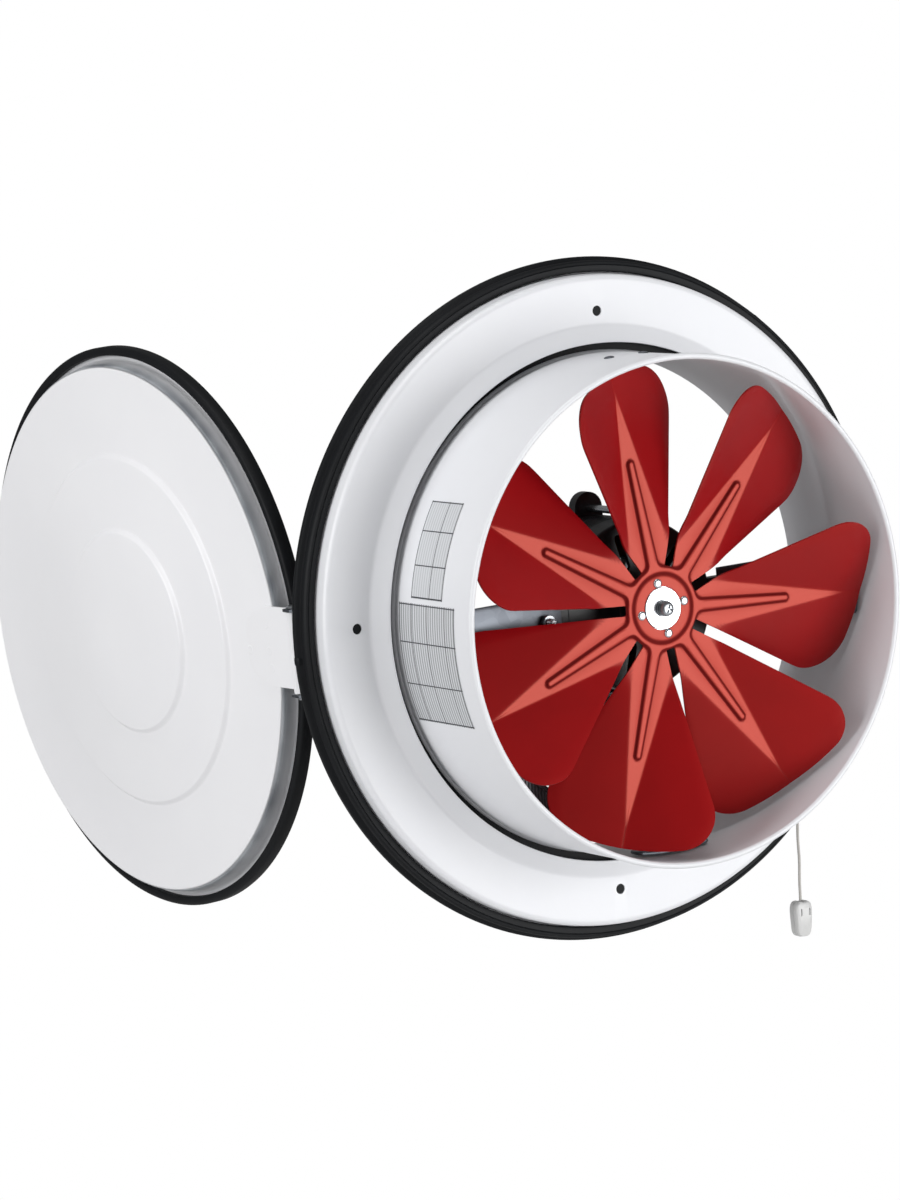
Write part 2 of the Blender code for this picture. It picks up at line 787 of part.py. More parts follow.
def make_hub():
    """Zinc hub with its flange and sleeve, its rivets, and the screw and washers at its front."""
    bore = shaft_radius + clearance
    screw_hole = screw_radius + clearance
    outline = [
        (hub_sleeve_radius, -hub_sleeve_rear),
        (hub_sleeve_radius, -flange_rear),
        (hub_flange_radius, -flange_rear),
        (hub_flange_radius, -flange_front),
        (hub_boss_radius, -flange_front),
        (hub_boss_radius, -hub_front),
        (screw_hole, -hub_front),
        (screw_hole, -shaft_front - clearance),
        (bore, -shaft_front - clearance),
        (bore, -hub_sleeve_rear),
    ]
    hub = turned("impeller_hub", outline, zinc, steps=16, parent=spin_frame)
    spots = quarters(hub_rivet_circle, hub_rivet_angle)
    carve(hub, drills("hub_rivet_holes", spots, hub_rivet_radius + clearance, -flange_rear + 0.001,
                      -flange_front - 0.001))
    head = -impeller_front - clearance
    tail = -flange_rear + clearance
    outline = [
        (0, tail + hub_rivet_head * 0.7),
        (hub_rivet_radius + 0.0007, tail + hub_rivet_head * 0.7),
        (hub_rivet_radius + 0.0007, tail),
        (hub_rivet_radius, tail),
        (hub_rivet_radius, head),
        (hub_rivet_head_radius, head),
        (hub_rivet_head_radius, head - hub_rivet_head * 0.5),
        (hub_rivet_head_radius * 0.6, head - hub_rivet_head),
        (0, head - hub_rivet_head),
    ]
    mesh = turned_mesh("hub_rivet", outline, False, 6)
    copies(["impeller_rivet_%d" % k for k in range(1, 5)], mesh, spots, zinc, spin_frame)

    flat_rear = -hub_front - clearance
    bush("flat_washer", flat_washer_radius, screw_hole, flat_rear, flat_rear - flat_washer_thickness, steel,
         12, spin_frame)
    spring_rear = flat_rear - flat_washer_thickness - clearance
    washer = bush("spring_washer", spring_washer_radius, screw_hole, spring_rear,
                  spring_rear - spring_washer_thickness, steel, 12, spin_frame)
    split = block("washer_split", (0.001, spring_rear - 0.003, -0.0004), (0.006, spring_rear + 0.003, 0.0004),
                  None, cutters)
    carve(washer, as_guide(split))
    head_rear = spring_rear - spring_washer_thickness - clearance
    outline = [
        (0, -shaft_front + screw_depth),
        (screw_radius, -shaft_front + screw_depth),
        (screw_radius, head_rear),
        (screw_head_radius, head_rear),
        (screw_head_radius, head_rear - screw_head_height * 0.5),
        (screw_head_radius * 0.62, head_rear - screw_head_height),
        (0, head_rear - screw_head_height),
    ]
    screw = turned("impeller_screw", outline, steel, closed=False, steps=12, parent=spin_frame)
    front = head_rear - screw_head_height
    for name, half_x, half_z in (("cross_slot_a", 0.0017, 0.0004), ("cross_slot_b", 0.0004, 0.0017)):
        slot = block(name, (-half_x, front - 0.001, -half_z), (half_x, front + 0.0008, half_z), None, cutters)
        carve(screw, as_guide(slot))


def in_lid(radius, depth, height=0):
    """A point of the closed lid, in the frame of its hinge."""
    return Vector((hinge_radius - radius, depth - hinge_depth, height))


def make_lid():
    """Pressed lid with two steps, and the rubber moulding that grips its flange."""
    top = lid_face_depth
    flange = lid_base + lid_flange_height
    outline = [
        (0, top + 2 * lid_step_height),
        (lid_inner_step_radius, top + 2 * lid_step_height),
        (lid_inner_step_radius + lid_step_width, top + lid_step_height),
        (lid_outer_step_radius, top + lid_step_height),
        (lid_outer_step_radius + lid_step_width, top),
        (lid_face_radius, top),
        (lid_face_radius + 0.0018, top - 0.0009),
        (lid_face_radius + 0.0023, top - 0.0021),
        (lid_flange_radius - 0.0046, flange + 0.001),
        (lid_flange_radius - 0.0032, flange),
        (lid_flange_radius, flange),
    ]
    spot = in_lid(0, 0)
    turned("lid_panel", outline, white_enamel, closed=False, wall=lid_wall, parent=lid_frame, location=spot)
    low = flange - lid_wall - clearance
    high = flange + clearance
    groove = lid_flange_radius + clearance
    outline = [
        (lid_gasket_radius - 0.0009, high + 0.0036),
        (lid_gasket_radius, high + 0.0023),
        (lid_gasket_radius - 0.0003, lid_base),
        (lid_flange_radius - 0.0054, lid_base),
        (lid_flange_radius - 0.0058, low),
        (groove, low),
        (groove, high),
        (lid_flange_radius - 0.002, high),
        (lid_flange_radius - 0.001, high + 0.0036),
    ]
    turned("lid_gasket", outline, black_rubber, parent=lid_frame, location=spot)


def make_hinge():
    """Leaf welded to the lid, with its knuckle, the bracket on the plate's back and the pin through both."""
    under = lid_face_depth + clearance
    start = hinge_radius - pin_radius - clearance - 0.0005
    path = [
        (start, hinge_depth, leaf_half_width),
        (start - 0.0003, hinge_depth - 0.005, leaf_half_width),
        (start - 0.0025, under + 0.0012, leaf_half_width),
        (start - 0.0059, under, leaf_half_width),
        (lid_face_radius - 0.004, under, leaf_half_width),
        (lid_face_radius - leaf_reach * 0.72, under, leaf_half_width * 0.8),
        (lid_face_radius - leaf_reach * 0.93, under, leaf_half_width * 0.62),
        (lid_face_radius - leaf_reach, under, leaf_half_width * 0.42),
    ]
    rows = [[in_lid(r, d, -half), in_lid(r, d, half)] for r, d, half in path]
    leaf = sheet("hinge_leaf", rows, leaf_wall, white_enamel, parts, lid_frame)
    bore = pin_radius + clearance
    outer = bore + knuckle_wall
    outline = [(outer, leaf_half_width), (outer, -leaf_half_width), (bore, -leaf_half_width),
               (bore, leaf_half_width)]
    tube = bpy.data.objects.new("knuckle", turned_mesh("knuckle", outline, True, 16))
    carve(leaf, as_guide(place(tube, cutters, None, lid_frame)), "UNION")

    back = plate_wall + clearance
    ear_inner = leaf_half_width + clearance
    ear_outer = ear_inner + bracket_wall
    foot_far = bracket_foot_radius + bracket_foot_width
    low = in_lid(foot_far, back, -ear_outer)
    high = in_lid(bracket_foot_radius, back + bracket_wall, ear_outer)
    bracket = block("hinge_bracket", low, high, galvanised, parts, hinge_frame)
    side = [
        (bracket_foot_radius, back),
        (foot_far, back),
        (foot_far + 0.001, hinge_depth - 0.015),
        (hinge_radius - 0.0015, hinge_depth - 0.011),
        (hinge_radius + 0.004, hinge_depth - 0.004),
        (hinge_radius + 0.004, hinge_depth + 0.003),
        (hinge_radius - 0.0035, hinge_depth + 0.004),
        (hinge_radius - 0.0075, hinge_depth - 0.001),
        (bracket_foot_radius + 0.004, hinge_depth - 0.015),
    ]
    outline = [tuple(in_lid(r, d))[:2] for r, d in side]
    for name, sign in (("ear_a", 1), ("ear_b", -1)):
        matrix = Matrix.Translation((0, 0, sign * (ear_inner + bracket_wall / 2)))
        ear = slab(name, outline, bracket_wall, matrix, None, cutters, hinge_frame)
        carve(bracket, as_guide(ear), "UNION")
    outline = [(0, ear_outer + 0.002), (bore, ear_outer + 0.002), (bore, -ear_outer - 0.002),
               (0, -ear_outer - 0.002)]
    hole = bpy.data.objects.new("pin_hole", turned_mesh("pin_hole", outline, False, 16))
    carve(bracket, as_guide(place(hole, cutters, None, hinge_frame)))

    head = ear_outer + clearance
    outline = [
        (0, head + 0.0012),
        (pin_radius * 1.2, head + 0.0012),
        (pin_radius * 1.8, head + 0.0006),
        (pin_radius * 1.8, head),
        (pin_radius, head),
        (pin_radius, -head - 0.001),
        (pin_radius - 0.0005, -head - 0.0015),
        (0, -head - 0.0015),
    ]
    turned("hinge_pin", outline, steel, closed=False, steps=12, turn=(0, 0, 0), parent=hinge_frame)


def make_terminal_box():
    """Moulded box on the drum's wall, with its cover, screws and cable gland."""
    outer = drum_inner_limit - 0.0004
    inner = outer - box_depth
    body = block("terminal_box", (inner, -box_front, -box_half_width),
                 (outer + 0.004, box_rear, box_half_width), grey_moulding, parts, turn=box_angle)
    round_wall = [(0, box_rear + 0.01), (outer, box_rear + 0.01), (outer, -box_front - 0.01),
                  (0, -box_front - 0.01)]
    guide = bpy.data.objects.new("drum_curve", turned_mesh("drum_curve", round_wall, False, 72))
    guide.rotation_euler = (-math.pi / 2, 0, 0)
    carve(body, as_guide(place(guide, cutters)), "INTERSECT")
    middle = (box_rear - box_front) / 2
    stand = outwards(box_angle, 0)
    screw_spots = [stand @ Matrix.Translation(offset) for offset in box_screw_offsets(middle)]
    hole = box_screw_radius + clearance
    carve(body, drills("box_screw_holes", screw_spots, hole, inner + box_screw_length, inner - 0.002))
    cover = block("terminal_cover", (inner - clearance - box_cover_thickness, -box_front, -box_half_width),
                  (inner - clearance, box_rear, box_half_width), grey_moulding, parts, turn=box_angle)
    carve(cover, drills("cover_screw_holes", screw_spots, hole, inner + 0.002, inner - 0.006))
    head = inner - 2 * clearance - box_cover_thickness
    outline = [
        (0, inner + box_screw_length - 0.001),
        (box_screw_radius, inner + box_screw_length - 0.001),
        (box_screw_radius, head),
        (box_screw_head_radius, head),
        (box_screw_head_radius, head - 0.0012),
        (0, head - 0.0012),
    ]
    mesh = turned_mesh("box_screw", outline, False, 6)
    copies(["terminal_cover_screw_a", "terminal_cover_screw_b"], mesh, screw_spots, zinc)
    gland_spot = on_axis((inner + outer) / 2, box_angle, box_rear + clearance)
    outline = [
        (gland_radius - 0.0015, gland_length),
        (gland_radius - 0.0015, 0.004),
        (gland_radius, 0.004),
        (gland_radius, 0),
        (gland_bore_radius, 0),
        (gland_bore_radius, gland_length),
    ]
    mesh = turned_mesh("gland", outline, True, 12)
    gathered("cable_gland", mesh, [gland_spot], black_moulding, parts)


def box_screw_offsets(middle):
    """Two screws at opposite corners of the box's cover."""
    along = box_half_width - 0.004
    deep = (box_rear + box_front) / 2 - 0.004
    return [(along, middle + deep, 0), (-along, middle - deep, 0)]


def make_switch_housing():
    """Moulded housing that stands on the plate's back, with its cover and two screws."""
    left = switch_x - switch_half_width
    right = switch_x + switch_half_width
    housing = block("switch_housing", (left, switch_front, switch_bottom), (right, switch_rear, switch_top),
                    white_moulding, parts)
    foot_low = (bracket_foot_radius + 0.0005, plate_wall + clearance, -switch_foot_width / 2)
    foot_high = (bracket_foot_radius + bracket_foot_width, switch_front + 0.001, switch_foot_width / 2)
    foot = block("switch_foot", foot_low, foot_high, None, cutters, turn=switch_foot_angle)
    carve(housing, as_guide(foot), "UNION")
    low = (left + switch_side_wall, switch_front + switch_wall, switch_bottom + switch_wall)
    high = (right - switch_side_wall, switch_rear + 0.002, switch_top - switch_wall)
    hollow = block("switch_hollow", low, high, None, cutters)
    carve(housing, as_guide(hollow))
    foot_spot = [Matrix.Translation((switch_x, slider_y, switch_bottom))]
    carve(housing, drills("stem_hole", foot_spot, stem_radius + 0.0004, 0.004, -0.002, 12))
    spots = [
        Matrix.Translation((left + switch_side_wall / 2, switch_rear, switch_top - 0.004)),
        Matrix.Translation((right - switch_side_wall / 2, switch_rear, switch_bottom + 0.004)),
    ]
    spots = [spot @ Matrix.Rotation(-math.pi / 2, 4, "X") for spot in spots]
    hole = cover_screw_radius + clearance
    carve(housing, drills("switch_screw_holes", spots, hole, 0.002, -cover_screw_length))
    seat = switch_rear + clearance
    cover = block("switch_cover", (left, seat, switch_bottom),
                  (right, seat + switch_cover_thickness, switch_top), white_moulding, parts)
    carve(cover, drills("switch_cover_holes", spots, hole, 0.006, -0.002))
    head = 2 * clearance + switch_cover_thickness
    outline = [
        (0, head + cover_screw_head),
        (cover_screw_head_radius, head + cover_screw_head),
        (cover_screw_head_radius, head),
        (cover_screw_radius, head),
        (cover_screw_radius, -cover_screw_length + 0.001),
        (0, -cover_screw_length + 0.001),
    ]
    mesh = turned_mesh("cover_screw", outline, False, 6)
    copies(["switch_cover_screw_a", "switch_cover_screw_b"], mesh, spots, zinc)


def make_switch_slider():
    """Slider with its stem, the return spring under it, and the guide that the stem leaves by."""
    top = switch_top - switch_wall - slider_drop
    bottom = top - slider_height
    half = switch_half_width - switch_side_wall - clearance
    slider = block("switch_slider", (switch_x - half, switch_front + switch_wall + clearance, bottom),
                   (switch_x + half, switch_rear, top), white_moulding, parts, pull_frame)
    foot = switch_bottom - clearance - guide_height - 0.0005
    outline = [(0, bottom + 0.002), (stem_radius, bottom + 0.002), (stem_radius, foot), (0, foot)]
    stem = gathered("slider_stem", turned_mesh("slider_stem", outline, False, 12),
                    [Matrix.Translation((switch_x, slider_y, 0))], None, cutters, pull_frame)
    carve(slider, as_guide(stem), "UNION")

    spring_top = bottom - clearance - spring_wire_radius
    spring_foot = switch_bottom + switch_wall + clearance + spring_wire_radius
    points = []
    count = spring_turns * 8
    for i in range(count + 1):
        turn = 2 * math.pi * spring_turns * i / count
        height = spring_foot + (spring_top - spring_foot) * i / count
        across = spring_radius * math.cos(turn)
        points.append((switch_x + across, slider_y + spring_radius * math.sin(turn), height))
    wire("switch_spring", points, spring_wire_radius, steel, 1)

    guide_top = switch_bottom - clearance
    bore = stem_radius + 0.0004
    outline = [
        (guide_radius, guide_top),
        (guide_radius, guide_top - guide_height * 0.5),
        (guide_radius * 0.8, guide_top - guide_height),
        (bore, guide_top - guide_height),
        (bore, guide_top),
    ]
    mesh = turned_mesh("cord_guide", outline, True, 12)
    gathered("cord_guide", mesh, [Matrix.Translation((switch_x, slider_y, 0))], white_moulding, parts)
    return foot


def wire(name, points, radius, material, resolution, parent=None):
    """A round wire or cord through a list of points."""
    curve = bpy.data.curves.new(name, "CURVE")
    curve.dimensions = "3D"
    curve.bevel_depth = radius
    curve.bevel_resolution = resolution
    curve.use_fill_caps = True
    spline = curve.splines.new("POLY")
    spline.points.add(len(points) - 1)
    for point, place_ in zip(spline.points, points):
        point.co = (*place_, 1)
    return place(bpy.data.objects.new(name, curve), parts, material, parent)


def make_cord_and_knob(stem_foot):
    """Cord from the stem's end to the knob, and the knob's two shells, which meet in a flat seam."""
    top = stem_foot - clearance
    points = []
    for i in range(13):
        share = i / 12
        sway = 0.00025 * math.sin(share * 4 * math.pi) * math.sin(share * math.pi)
        points.append((switch_x + sway, slider_y, top - cord_length * share))
    wire("pull_cord", points, cord_radius, cord_white, 2, pull_frame)
    knob_top = top - cord_length - clearance
    for name, side in (("knob_front_shell", -1), ("knob_back_shell", 1)):
        knob_shell(name, side, knob_top)


def knob_shell(name, side, knob_top):
    """Half of the knob: its outline at the seam, drawn in towards its outer face."""
    half = [(0.82, 0), (1, 0.06), (0.94, 0.42), (0.84, 0.78), (0.70, 0.93), (0.46, 1)]
    outline = [(x * knob_half_width, -z * knob_height) for x, z in half]
    outline += [(-x, z) for x, z in reversed(outline)]
    middle = -knob_height / 2
    levels = [(0.5 * clearance, 1), (knob_half_thickness * 0.62, 0.985), (knob_half_thickness, 0.84)]
    bm = bmesh.new()
    rings = []
    for offset, scale in levels:
        ring = []
        for x, z in outline:
            point = (switch_x + x * scale, slider_y + side * offset, knob_top + middle + (z - middle) * scale)
            ring.append(bm.verts.new(point))
        rings.append(ring)
    count = len(outline)
    for lower, upper in zip(rings, rings[1:]):
        for i in range(count):
            j = (i + 1) % count
            bm.faces.new((lower[i], lower[j], upper[j], upper[i]))
    bm.faces.new(rings[0])
    bm.faces.new(rings[-1])
    bmesh.ops.recalc_face_normals(bm, faces=bm.faces)
    mesh = bpy.data.meshes.new(name)
    bm.to_mesh(mesh)
    bm.free()
    mesh.shade_smooth()
    mesh.set_sharp_from_angle(angle=math.radians(35))
    return place(bpy.data.objects.new(name, mesh), parts, white_moulding, pull_frame)


for leftover in list(bpy.data.objects):
    bpy.data.objects.remove(leftover)
parts = bpy.data.collections.new("exhaust_fan")
cutters = bpy.data.collections.new("cutters")
bpy.context.scene.collection.children.link(parts)
bpy.context.scene.collection.children.link(cutters)

white_enamel = make_material("white_enamel", (0.80, 0.81, 0.82), 0.35, 0)
black_rubber = make_material("black_rubber", (0.018, 0.019, 0.021), 0.6, 0)
red_paint = make_material("red_paint", (0.36, 0.012, 0.014), 0.35, 0)
zinc = make_material("zinc", (0.72, 0.72, 0.74), 0.3, 1)
steel = make_material("steel", (0.55, 0.55, 0.57), 0.3, 1)
galvanised = make_material("galvanised", (0.45, 0.45, 0.48), 0.4, 1)
black_paint = make_material("black_paint", (0.02, 0.02, 0.022), 0.45, 0)
copper = make_material("copper", (0.55, 0.20, 0.09), 0.35, 1)
bronze = make_material("bronze", (0.45, 0.28, 0.12), 0.5, 1)
grey_moulding = make_material("grey_moulding", (0.16, 0.16, 0.17), 0.5, 0)
black_moulding = make_material("black_moulding", (0.03, 0.03, 0.03), 0.5, 0)
white_moulding = make_material("white_moulding", (0.75, 0.75, 0.74), 0.4, 0)
cord_white = make_material("cord_white", (0.62, 0.60, 0.57), 0.8, 0)

spin_frame = place(bpy.data.objects.new("spin_frame", None), parts)
pull_frame = place(bpy.data.objects.new("pull_frame", None), parts)
hinge_frame = place(bpy.data.objects.new("hinge_frame", None), parts)
hinge_spot = Vector((-hinge_radius, hinge_depth, 0))
hinge_frame.location = Matrix.Rotation(-hinge_tilt, 3, "Y") @ hinge_spot
hinge_frame.rotation_euler = (0, -hinge_tilt, 0)
lid_frame = place(bpy.data.objects.new("lid_frame", None), parts, None, hinge_frame)
lid_frame.rotation_euler = (0, 0, lid_open_angle)
bpy.context.view_layer.update()

make_drum()
make_plate()
make_plate_gasket()
make_seat_ring()
make_seal()
make_arms()
make_bells()
make_bolts()
make_motor_inside()
make_impeller()
make_hub()
make_lid()
make_hinge()
make_terminal_box()
make_switch_housing()
make_cord_and_knob(make_switch_slider())
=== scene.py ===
"""Looks of a round wall exhaust fan: finishes, pressed details, small fasteners, lights and camera.

Metres, +Z up. The fan's axis is Y. The drum points towards -Y, into the duct, and +Y is the room.
"""
import json
import math

import bmesh
import bpy
from mathutils import Matrix, Vector

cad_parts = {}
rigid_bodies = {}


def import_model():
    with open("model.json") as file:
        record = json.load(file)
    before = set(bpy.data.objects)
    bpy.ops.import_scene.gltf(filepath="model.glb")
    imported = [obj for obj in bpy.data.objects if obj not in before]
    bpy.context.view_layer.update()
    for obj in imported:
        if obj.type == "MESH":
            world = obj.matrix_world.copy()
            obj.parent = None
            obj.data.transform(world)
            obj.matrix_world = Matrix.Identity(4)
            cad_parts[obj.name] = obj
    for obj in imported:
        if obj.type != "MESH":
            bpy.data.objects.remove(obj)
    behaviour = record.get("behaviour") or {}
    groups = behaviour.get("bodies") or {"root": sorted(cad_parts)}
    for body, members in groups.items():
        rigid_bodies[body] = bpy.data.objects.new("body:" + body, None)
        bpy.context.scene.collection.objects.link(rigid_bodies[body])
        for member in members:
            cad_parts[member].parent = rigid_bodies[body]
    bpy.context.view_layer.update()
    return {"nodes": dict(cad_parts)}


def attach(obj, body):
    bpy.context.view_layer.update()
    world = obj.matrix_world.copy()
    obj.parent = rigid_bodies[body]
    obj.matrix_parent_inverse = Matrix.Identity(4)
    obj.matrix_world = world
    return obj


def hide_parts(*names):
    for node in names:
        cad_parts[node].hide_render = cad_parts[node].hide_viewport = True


for leftover in list(bpy.data.objects):
    bpy.data.objects.remove(leftover)
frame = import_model()
nodes = frame["nodes"]


# Drum: a steel sheet rolled to a cylinder, with its front edge curled to a small hem that stiffens
# it and a swell where it meets the plate. Powder coated white, so glossy with a faint orange peel.
drum_bore = 0.130
drum_wall = 0.0012
drum_front = 0.07715
drum_rear = 0.0198
hem_radius = 0.0016
drum_outside = drum_bore + drum_wall


def linear(colour):
    """Linear RGBA of an sRGB hex colour."""
    channels = [int(colour[i:i + 2], 16) / 255 for i in (1, 3, 5)]
    return (*[c / 12.92 if c <= 0.04045 else ((c + 0.055) / 1.055) ** 2.4 for c in channels], 1)


def add(material, kind, inputs, **settings):
    """Add a node to a material. An input is a value, a hex colour or the output socket that feeds it."""
    node = material.node_tree.nodes.new(kind)
    for name, value in settings.items():
        setattr(node, name, value)
    for name, value in inputs.items():
        if isinstance(value, bpy.types.NodeSocket):
            material.node_tree.links.new(value, node.inputs[name])
        else:
            node.inputs[name].default_value = linear(value) if isinstance(value, str) else value
    return node


def finish_of(name, roughness, metallic=0.0, ior=1.5):
    """A new material with its shader and the object's own coordinates."""
    material = bpy.data.materials.new(name)
    material.use_nodes = True
    shader = material.node_tree.nodes["Principled BSDF"]
    shader.inputs["Roughness"].default_value = roughness
    shader.inputs["Metallic"].default_value = metallic
    shader.inputs["IOR"].default_value = ior
    place = add(material, "ShaderNodeTexCoord", {}).outputs["Object"]
    return material, shader, place


def colour_drift(material, shader, place, first, second, size):
    """Let the colour drift softly between two tones, over patches of a given size."""
    patches = add(material, "ShaderNodeTexNoise", {"Vector": place, "Scale": 1 / size, "Detail": 3.0})
    tones = add(material, "ShaderNodeMix", {"Factor": patches.outputs["Fac"], "A": first, "B": second},
                data_type="RGBA")
    material.node_tree.links.new(tones.outputs["Result"], shader.inputs["Base Color"])
    return tones.outputs["Result"]


def grain(material, shader, place, size, height):
    """A bump of a given grain size and height on the whole surface."""
    bumps = add(material, "ShaderNodeTexNoise", {"Vector": place, "Scale": 1 / size, "Detail": 2.0})
    bump = add(material, "ShaderNodeBump", {"Height": bumps.outputs["Fac"], "Distance": height})
    material.node_tree.links.new(bump.outputs["Normal"], shader.inputs["Normal"])


def coated(name, roughness, drift, bumps, metallic=0.0):
    """A material with a colour drift (two tones and the patches' size) and a grain (size and height)."""
    material, shader, place = finish_of(name, roughness, metallic)
    colour_drift(material, shader, place, *drift)
    grain(material, shader, place, *bumps)
    return material


# Polyester powder coat on steel: nearly white, half gloss, with a ripple of about 3 mm.
white_coat = coated("white_powder_coat", 0.32, ("#E6E7EA", "#DFE0E4", 0.07), (0.003, 0.00002))


def arc(centre, radius, start, end, segments):
    """Points along an arc in the plane of an outline, angles in degrees."""
    angles = [math.radians(start + (end - start) * i / segments) for i in range(segments + 1)]
    return [(centre[0] + radius * math.cos(a), centre[1] + radius * math.sin(a)) for a in angles]


def walled(path, wall):
    """Closed outline of a sheet: its outer face follows the path, and its wall lies to the right."""
    behind = []
    for i, point in enumerate(path):
        steps = [Vector(path[k + 1]) - Vector(path[k]) for k in (i - 1, i) if 0 <= k < len(path) - 1]
        normals = [Vector((step.y, -step.x)).normalized() for step in steps]
        middle = (normals[0] + normals[-1]).normalized()
        reach = wall / max(middle.dot(normals[0]), 0.5)
        behind.append((point[0] + middle.x * reach, point[1] + middle.y * reach))
    return path + behind[::-1]


def mesh_of(bm):
    """The plain mesh of a bmesh, which is freed."""
    mesh = bpy.data.meshes.new("mesh")
    bm.to_mesh(mesh)
    bm.free()
    return mesh


def turned_mesh(outline, steps):
    """Mesh of a closed outline of (radius, depth) points, turned about the fan's axis."""
    bm = bmesh.new()
    rings = []
    for radius, depth in outline:
        count = 1 if radius < 1e-6 else steps
        angles = [2 * math.pi * i / steps for i in range(count)]
        rings.append([bm.verts.new((radius * math.cos(a), depth, radius * math.sin(a))) for a in angles])
    for lower, upper in zip(rings, rings[1:] + rings[:1]):
        for i in range(steps):
            j = (i + 1) % steps
            corners = [lower[i % len(lower)], lower[j % len(lower)],
                       upper[j % len(upper)], upper[i % len(upper)]]
            corners = list(dict.fromkeys(corners))
            if len(corners) > 2:
                bm.faces.new(corners)
    bmesh.ops.recalc_face_normals(bm, faces=bm.faces)
    return mesh_of(bm)


def piece(name, mesh, material, body, replaced=(), sharp=32):
    """Show a mesh as a finished piece that rides on a body and stands for CAD nodes."""
    mesh.name = name
    mesh.materials.clear()
    mesh.materials.append(material)
    mesh.shade_smooth()
    mesh.set_sharp_from_angle(angle=math.radians(sharp))
    obj = bpy.data.objects.new(name, mesh)
    bpy.context.scene.collection.objects.link(obj)
    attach(obj, body)
    if replaced:
        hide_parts(*replaced)
    return obj


hem_centre = (drum_bore + drum_wall / 2, hem_radius - drum_front)
root_swell = 0.0010
drum_outline = [(drum_outside, drum_rear), (drum_outside, 0.0090), (drum_outside + root_swell, 0.0070),
                (drum_outside + root_swell, 0.0004), (drum_outside + 0.7 * root_swell, -0.0006),
                (drum_outside, -0.0014), (drum_outside, -0.03)]
drum_outline += arc(hem_centre, hem_radius, 68, -248, 28)
drum_outline += [(drum_bore, -0.03), (drum_bore, drum_rear)]
piece("rolled_drum", turned_mesh(drum_outline, 240), white_coat, "housing", ["drum"])


# Two foil plates on the drum's left side, stuck on round its curve. Each is a silver film, printed
# with a border, ruled columns and close rules: matt and pale, with fine dark lines.
plate_lift = 0.00012
plate_sizes = {
    "wiring_plate": (151.0, 173.4, -0.0479, -0.0176, (0.0, 0.42, 1.0), 0.22),
    "rating_plate": (174.5, 202.0, -0.0602, -0.0060, (0.0, 0.17, 0.50, 0.78, 1.0), 0.55),
}
for name, (first, last, front, rear, columns_at, grey) in plate_sizes.items():
    foil, shader, place = finish_of(name + "_foil", 0.42, 0.15)
    across = add(foil, "ShaderNodeSeparateXYZ", {"Vector": add(foil, "ShaderNodeTexCoord", {}).outputs["UV"]})
    high = math.radians(last - first) * drum_outside
    wide = rear - front

    rules = add(foil, "ShaderNodeMath", {0: across.outputs["X"], 1: wide / 0.0022}, operation="MULTIPLY")
    rules = add(foil, "ShaderNodeMath", {0: rules.outputs[0]}, operation="FRACT")
    rules = add(foil, "ShaderNodeMath", {0: rules.outputs[0], 1: 0.5, 2: 0.22}, operation="COMPARE")
    share = add(foil, "ShaderNodeMath", {0: rules.outputs[0], 1: grey}, operation="MULTIPLY").outputs[0]
    lines = [("Y", 0.012, 0.0004 / high)]
    lines += [("Y", spot, 0.0003 / high) for spot in (0.33, 0.68, 0.988)]
    lines += [("X", 0.012 + 0.976 * spot, 0.00025 / wide) for spot in columns_at]
    for axis, spot, half in lines:
        line = add(foil, "ShaderNodeMath", {0: across.outputs[axis], 1: spot, 2: half}, operation="COMPARE")
        share = add(foil, "ShaderNodeMath", {0: share, 1: line.outputs[0]}, operation="MAXIMUM").outputs[0]
    ink = add(foil, "ShaderNodeMix", {"Factor": share, "A": "#D6D8DB", "B": "#3A3C40"}, data_type="RGBA")
    foil.node_tree.links.new(ink.outputs["Result"], shader.inputs["Base Color"])
    bm = bmesh.new()
    uv = bm.loops.layers.uv.new("UVMap")
    columns = 24
    grid = []
    for i in range(columns + 1):
        turn = math.radians(first + (last - first) * i / columns)
        radius = drum_outside + plate_lift
        grid.append([bm.verts.new((radius * math.cos(turn), depth, radius * math.sin(turn)))
                     for depth in (front, rear)])
    for i in range(columns):
        face = bm.faces.new((grid[i][0], grid[i + 1][0], grid[i + 1][1], grid[i][1]))
        spots = ((0, i), (0, i + 1), (1, i + 1), (1, i))
        for loop, (u, v) in zip(face.loops, spots):
            loop[uv].uv = (u, 1 - v / columns)
    bm.normal_update()
    if sum(face.normal.dot(face.calc_center_median() * Vector((1, 0, 1))) for face in bm.faces) < 0:
        bmesh.ops.reverse_faces(bm, faces=bm.faces)
    piece(name, mesh_of(bm), foil, "housing")


# Mounting plate: one deep-drawn steel pressing with a flat ring, a cone that narrows to the drum and
# a skirt that turns back to a rim. Four screw holes, closed by blind rubber plugs from behind.
sheet = 0.001
opening_radius = 0.1362
cone_width = 0.0088
cone_drop = 0.006
skirt_radius = 0.1714
corner_radius = 0.0034
skirt_depth = 0.013
rim_radius = skirt_radius + 0.0056
hole_circle = 0.1525
hole_radius = 0.00275


def settled(obj):
    """The mesh of an object after its modifiers. The object itself goes."""
    graph = bpy.context.evaluated_depsgraph_get()
    mesh = bpy.data.meshes.new_from_object(obj.evaluated_get(graph))
    bpy.data.objects.remove(obj)
    return mesh


def loose(name, mesh):
    """An object for a mesh that still needs modifiers."""
    obj = bpy.data.objects.new(name, mesh)
    bpy.context.scene.collection.objects.link(obj)
    return obj


def carved(mesh, tools, operation="DIFFERENCE"):
    """A mesh that is cut by, or joined with, other meshes."""
    obj = loose("carved", mesh)
    helpers = [loose("tool", tool) for tool in tools]
    for helper in helpers:
        boolean = obj.modifiers.new("cut", "BOOLEAN")
        boolean.operation = operation
        boolean.object = helper
    result = settled(obj)
    for helper in helpers:
        bpy.data.objects.remove(helper)
    return result


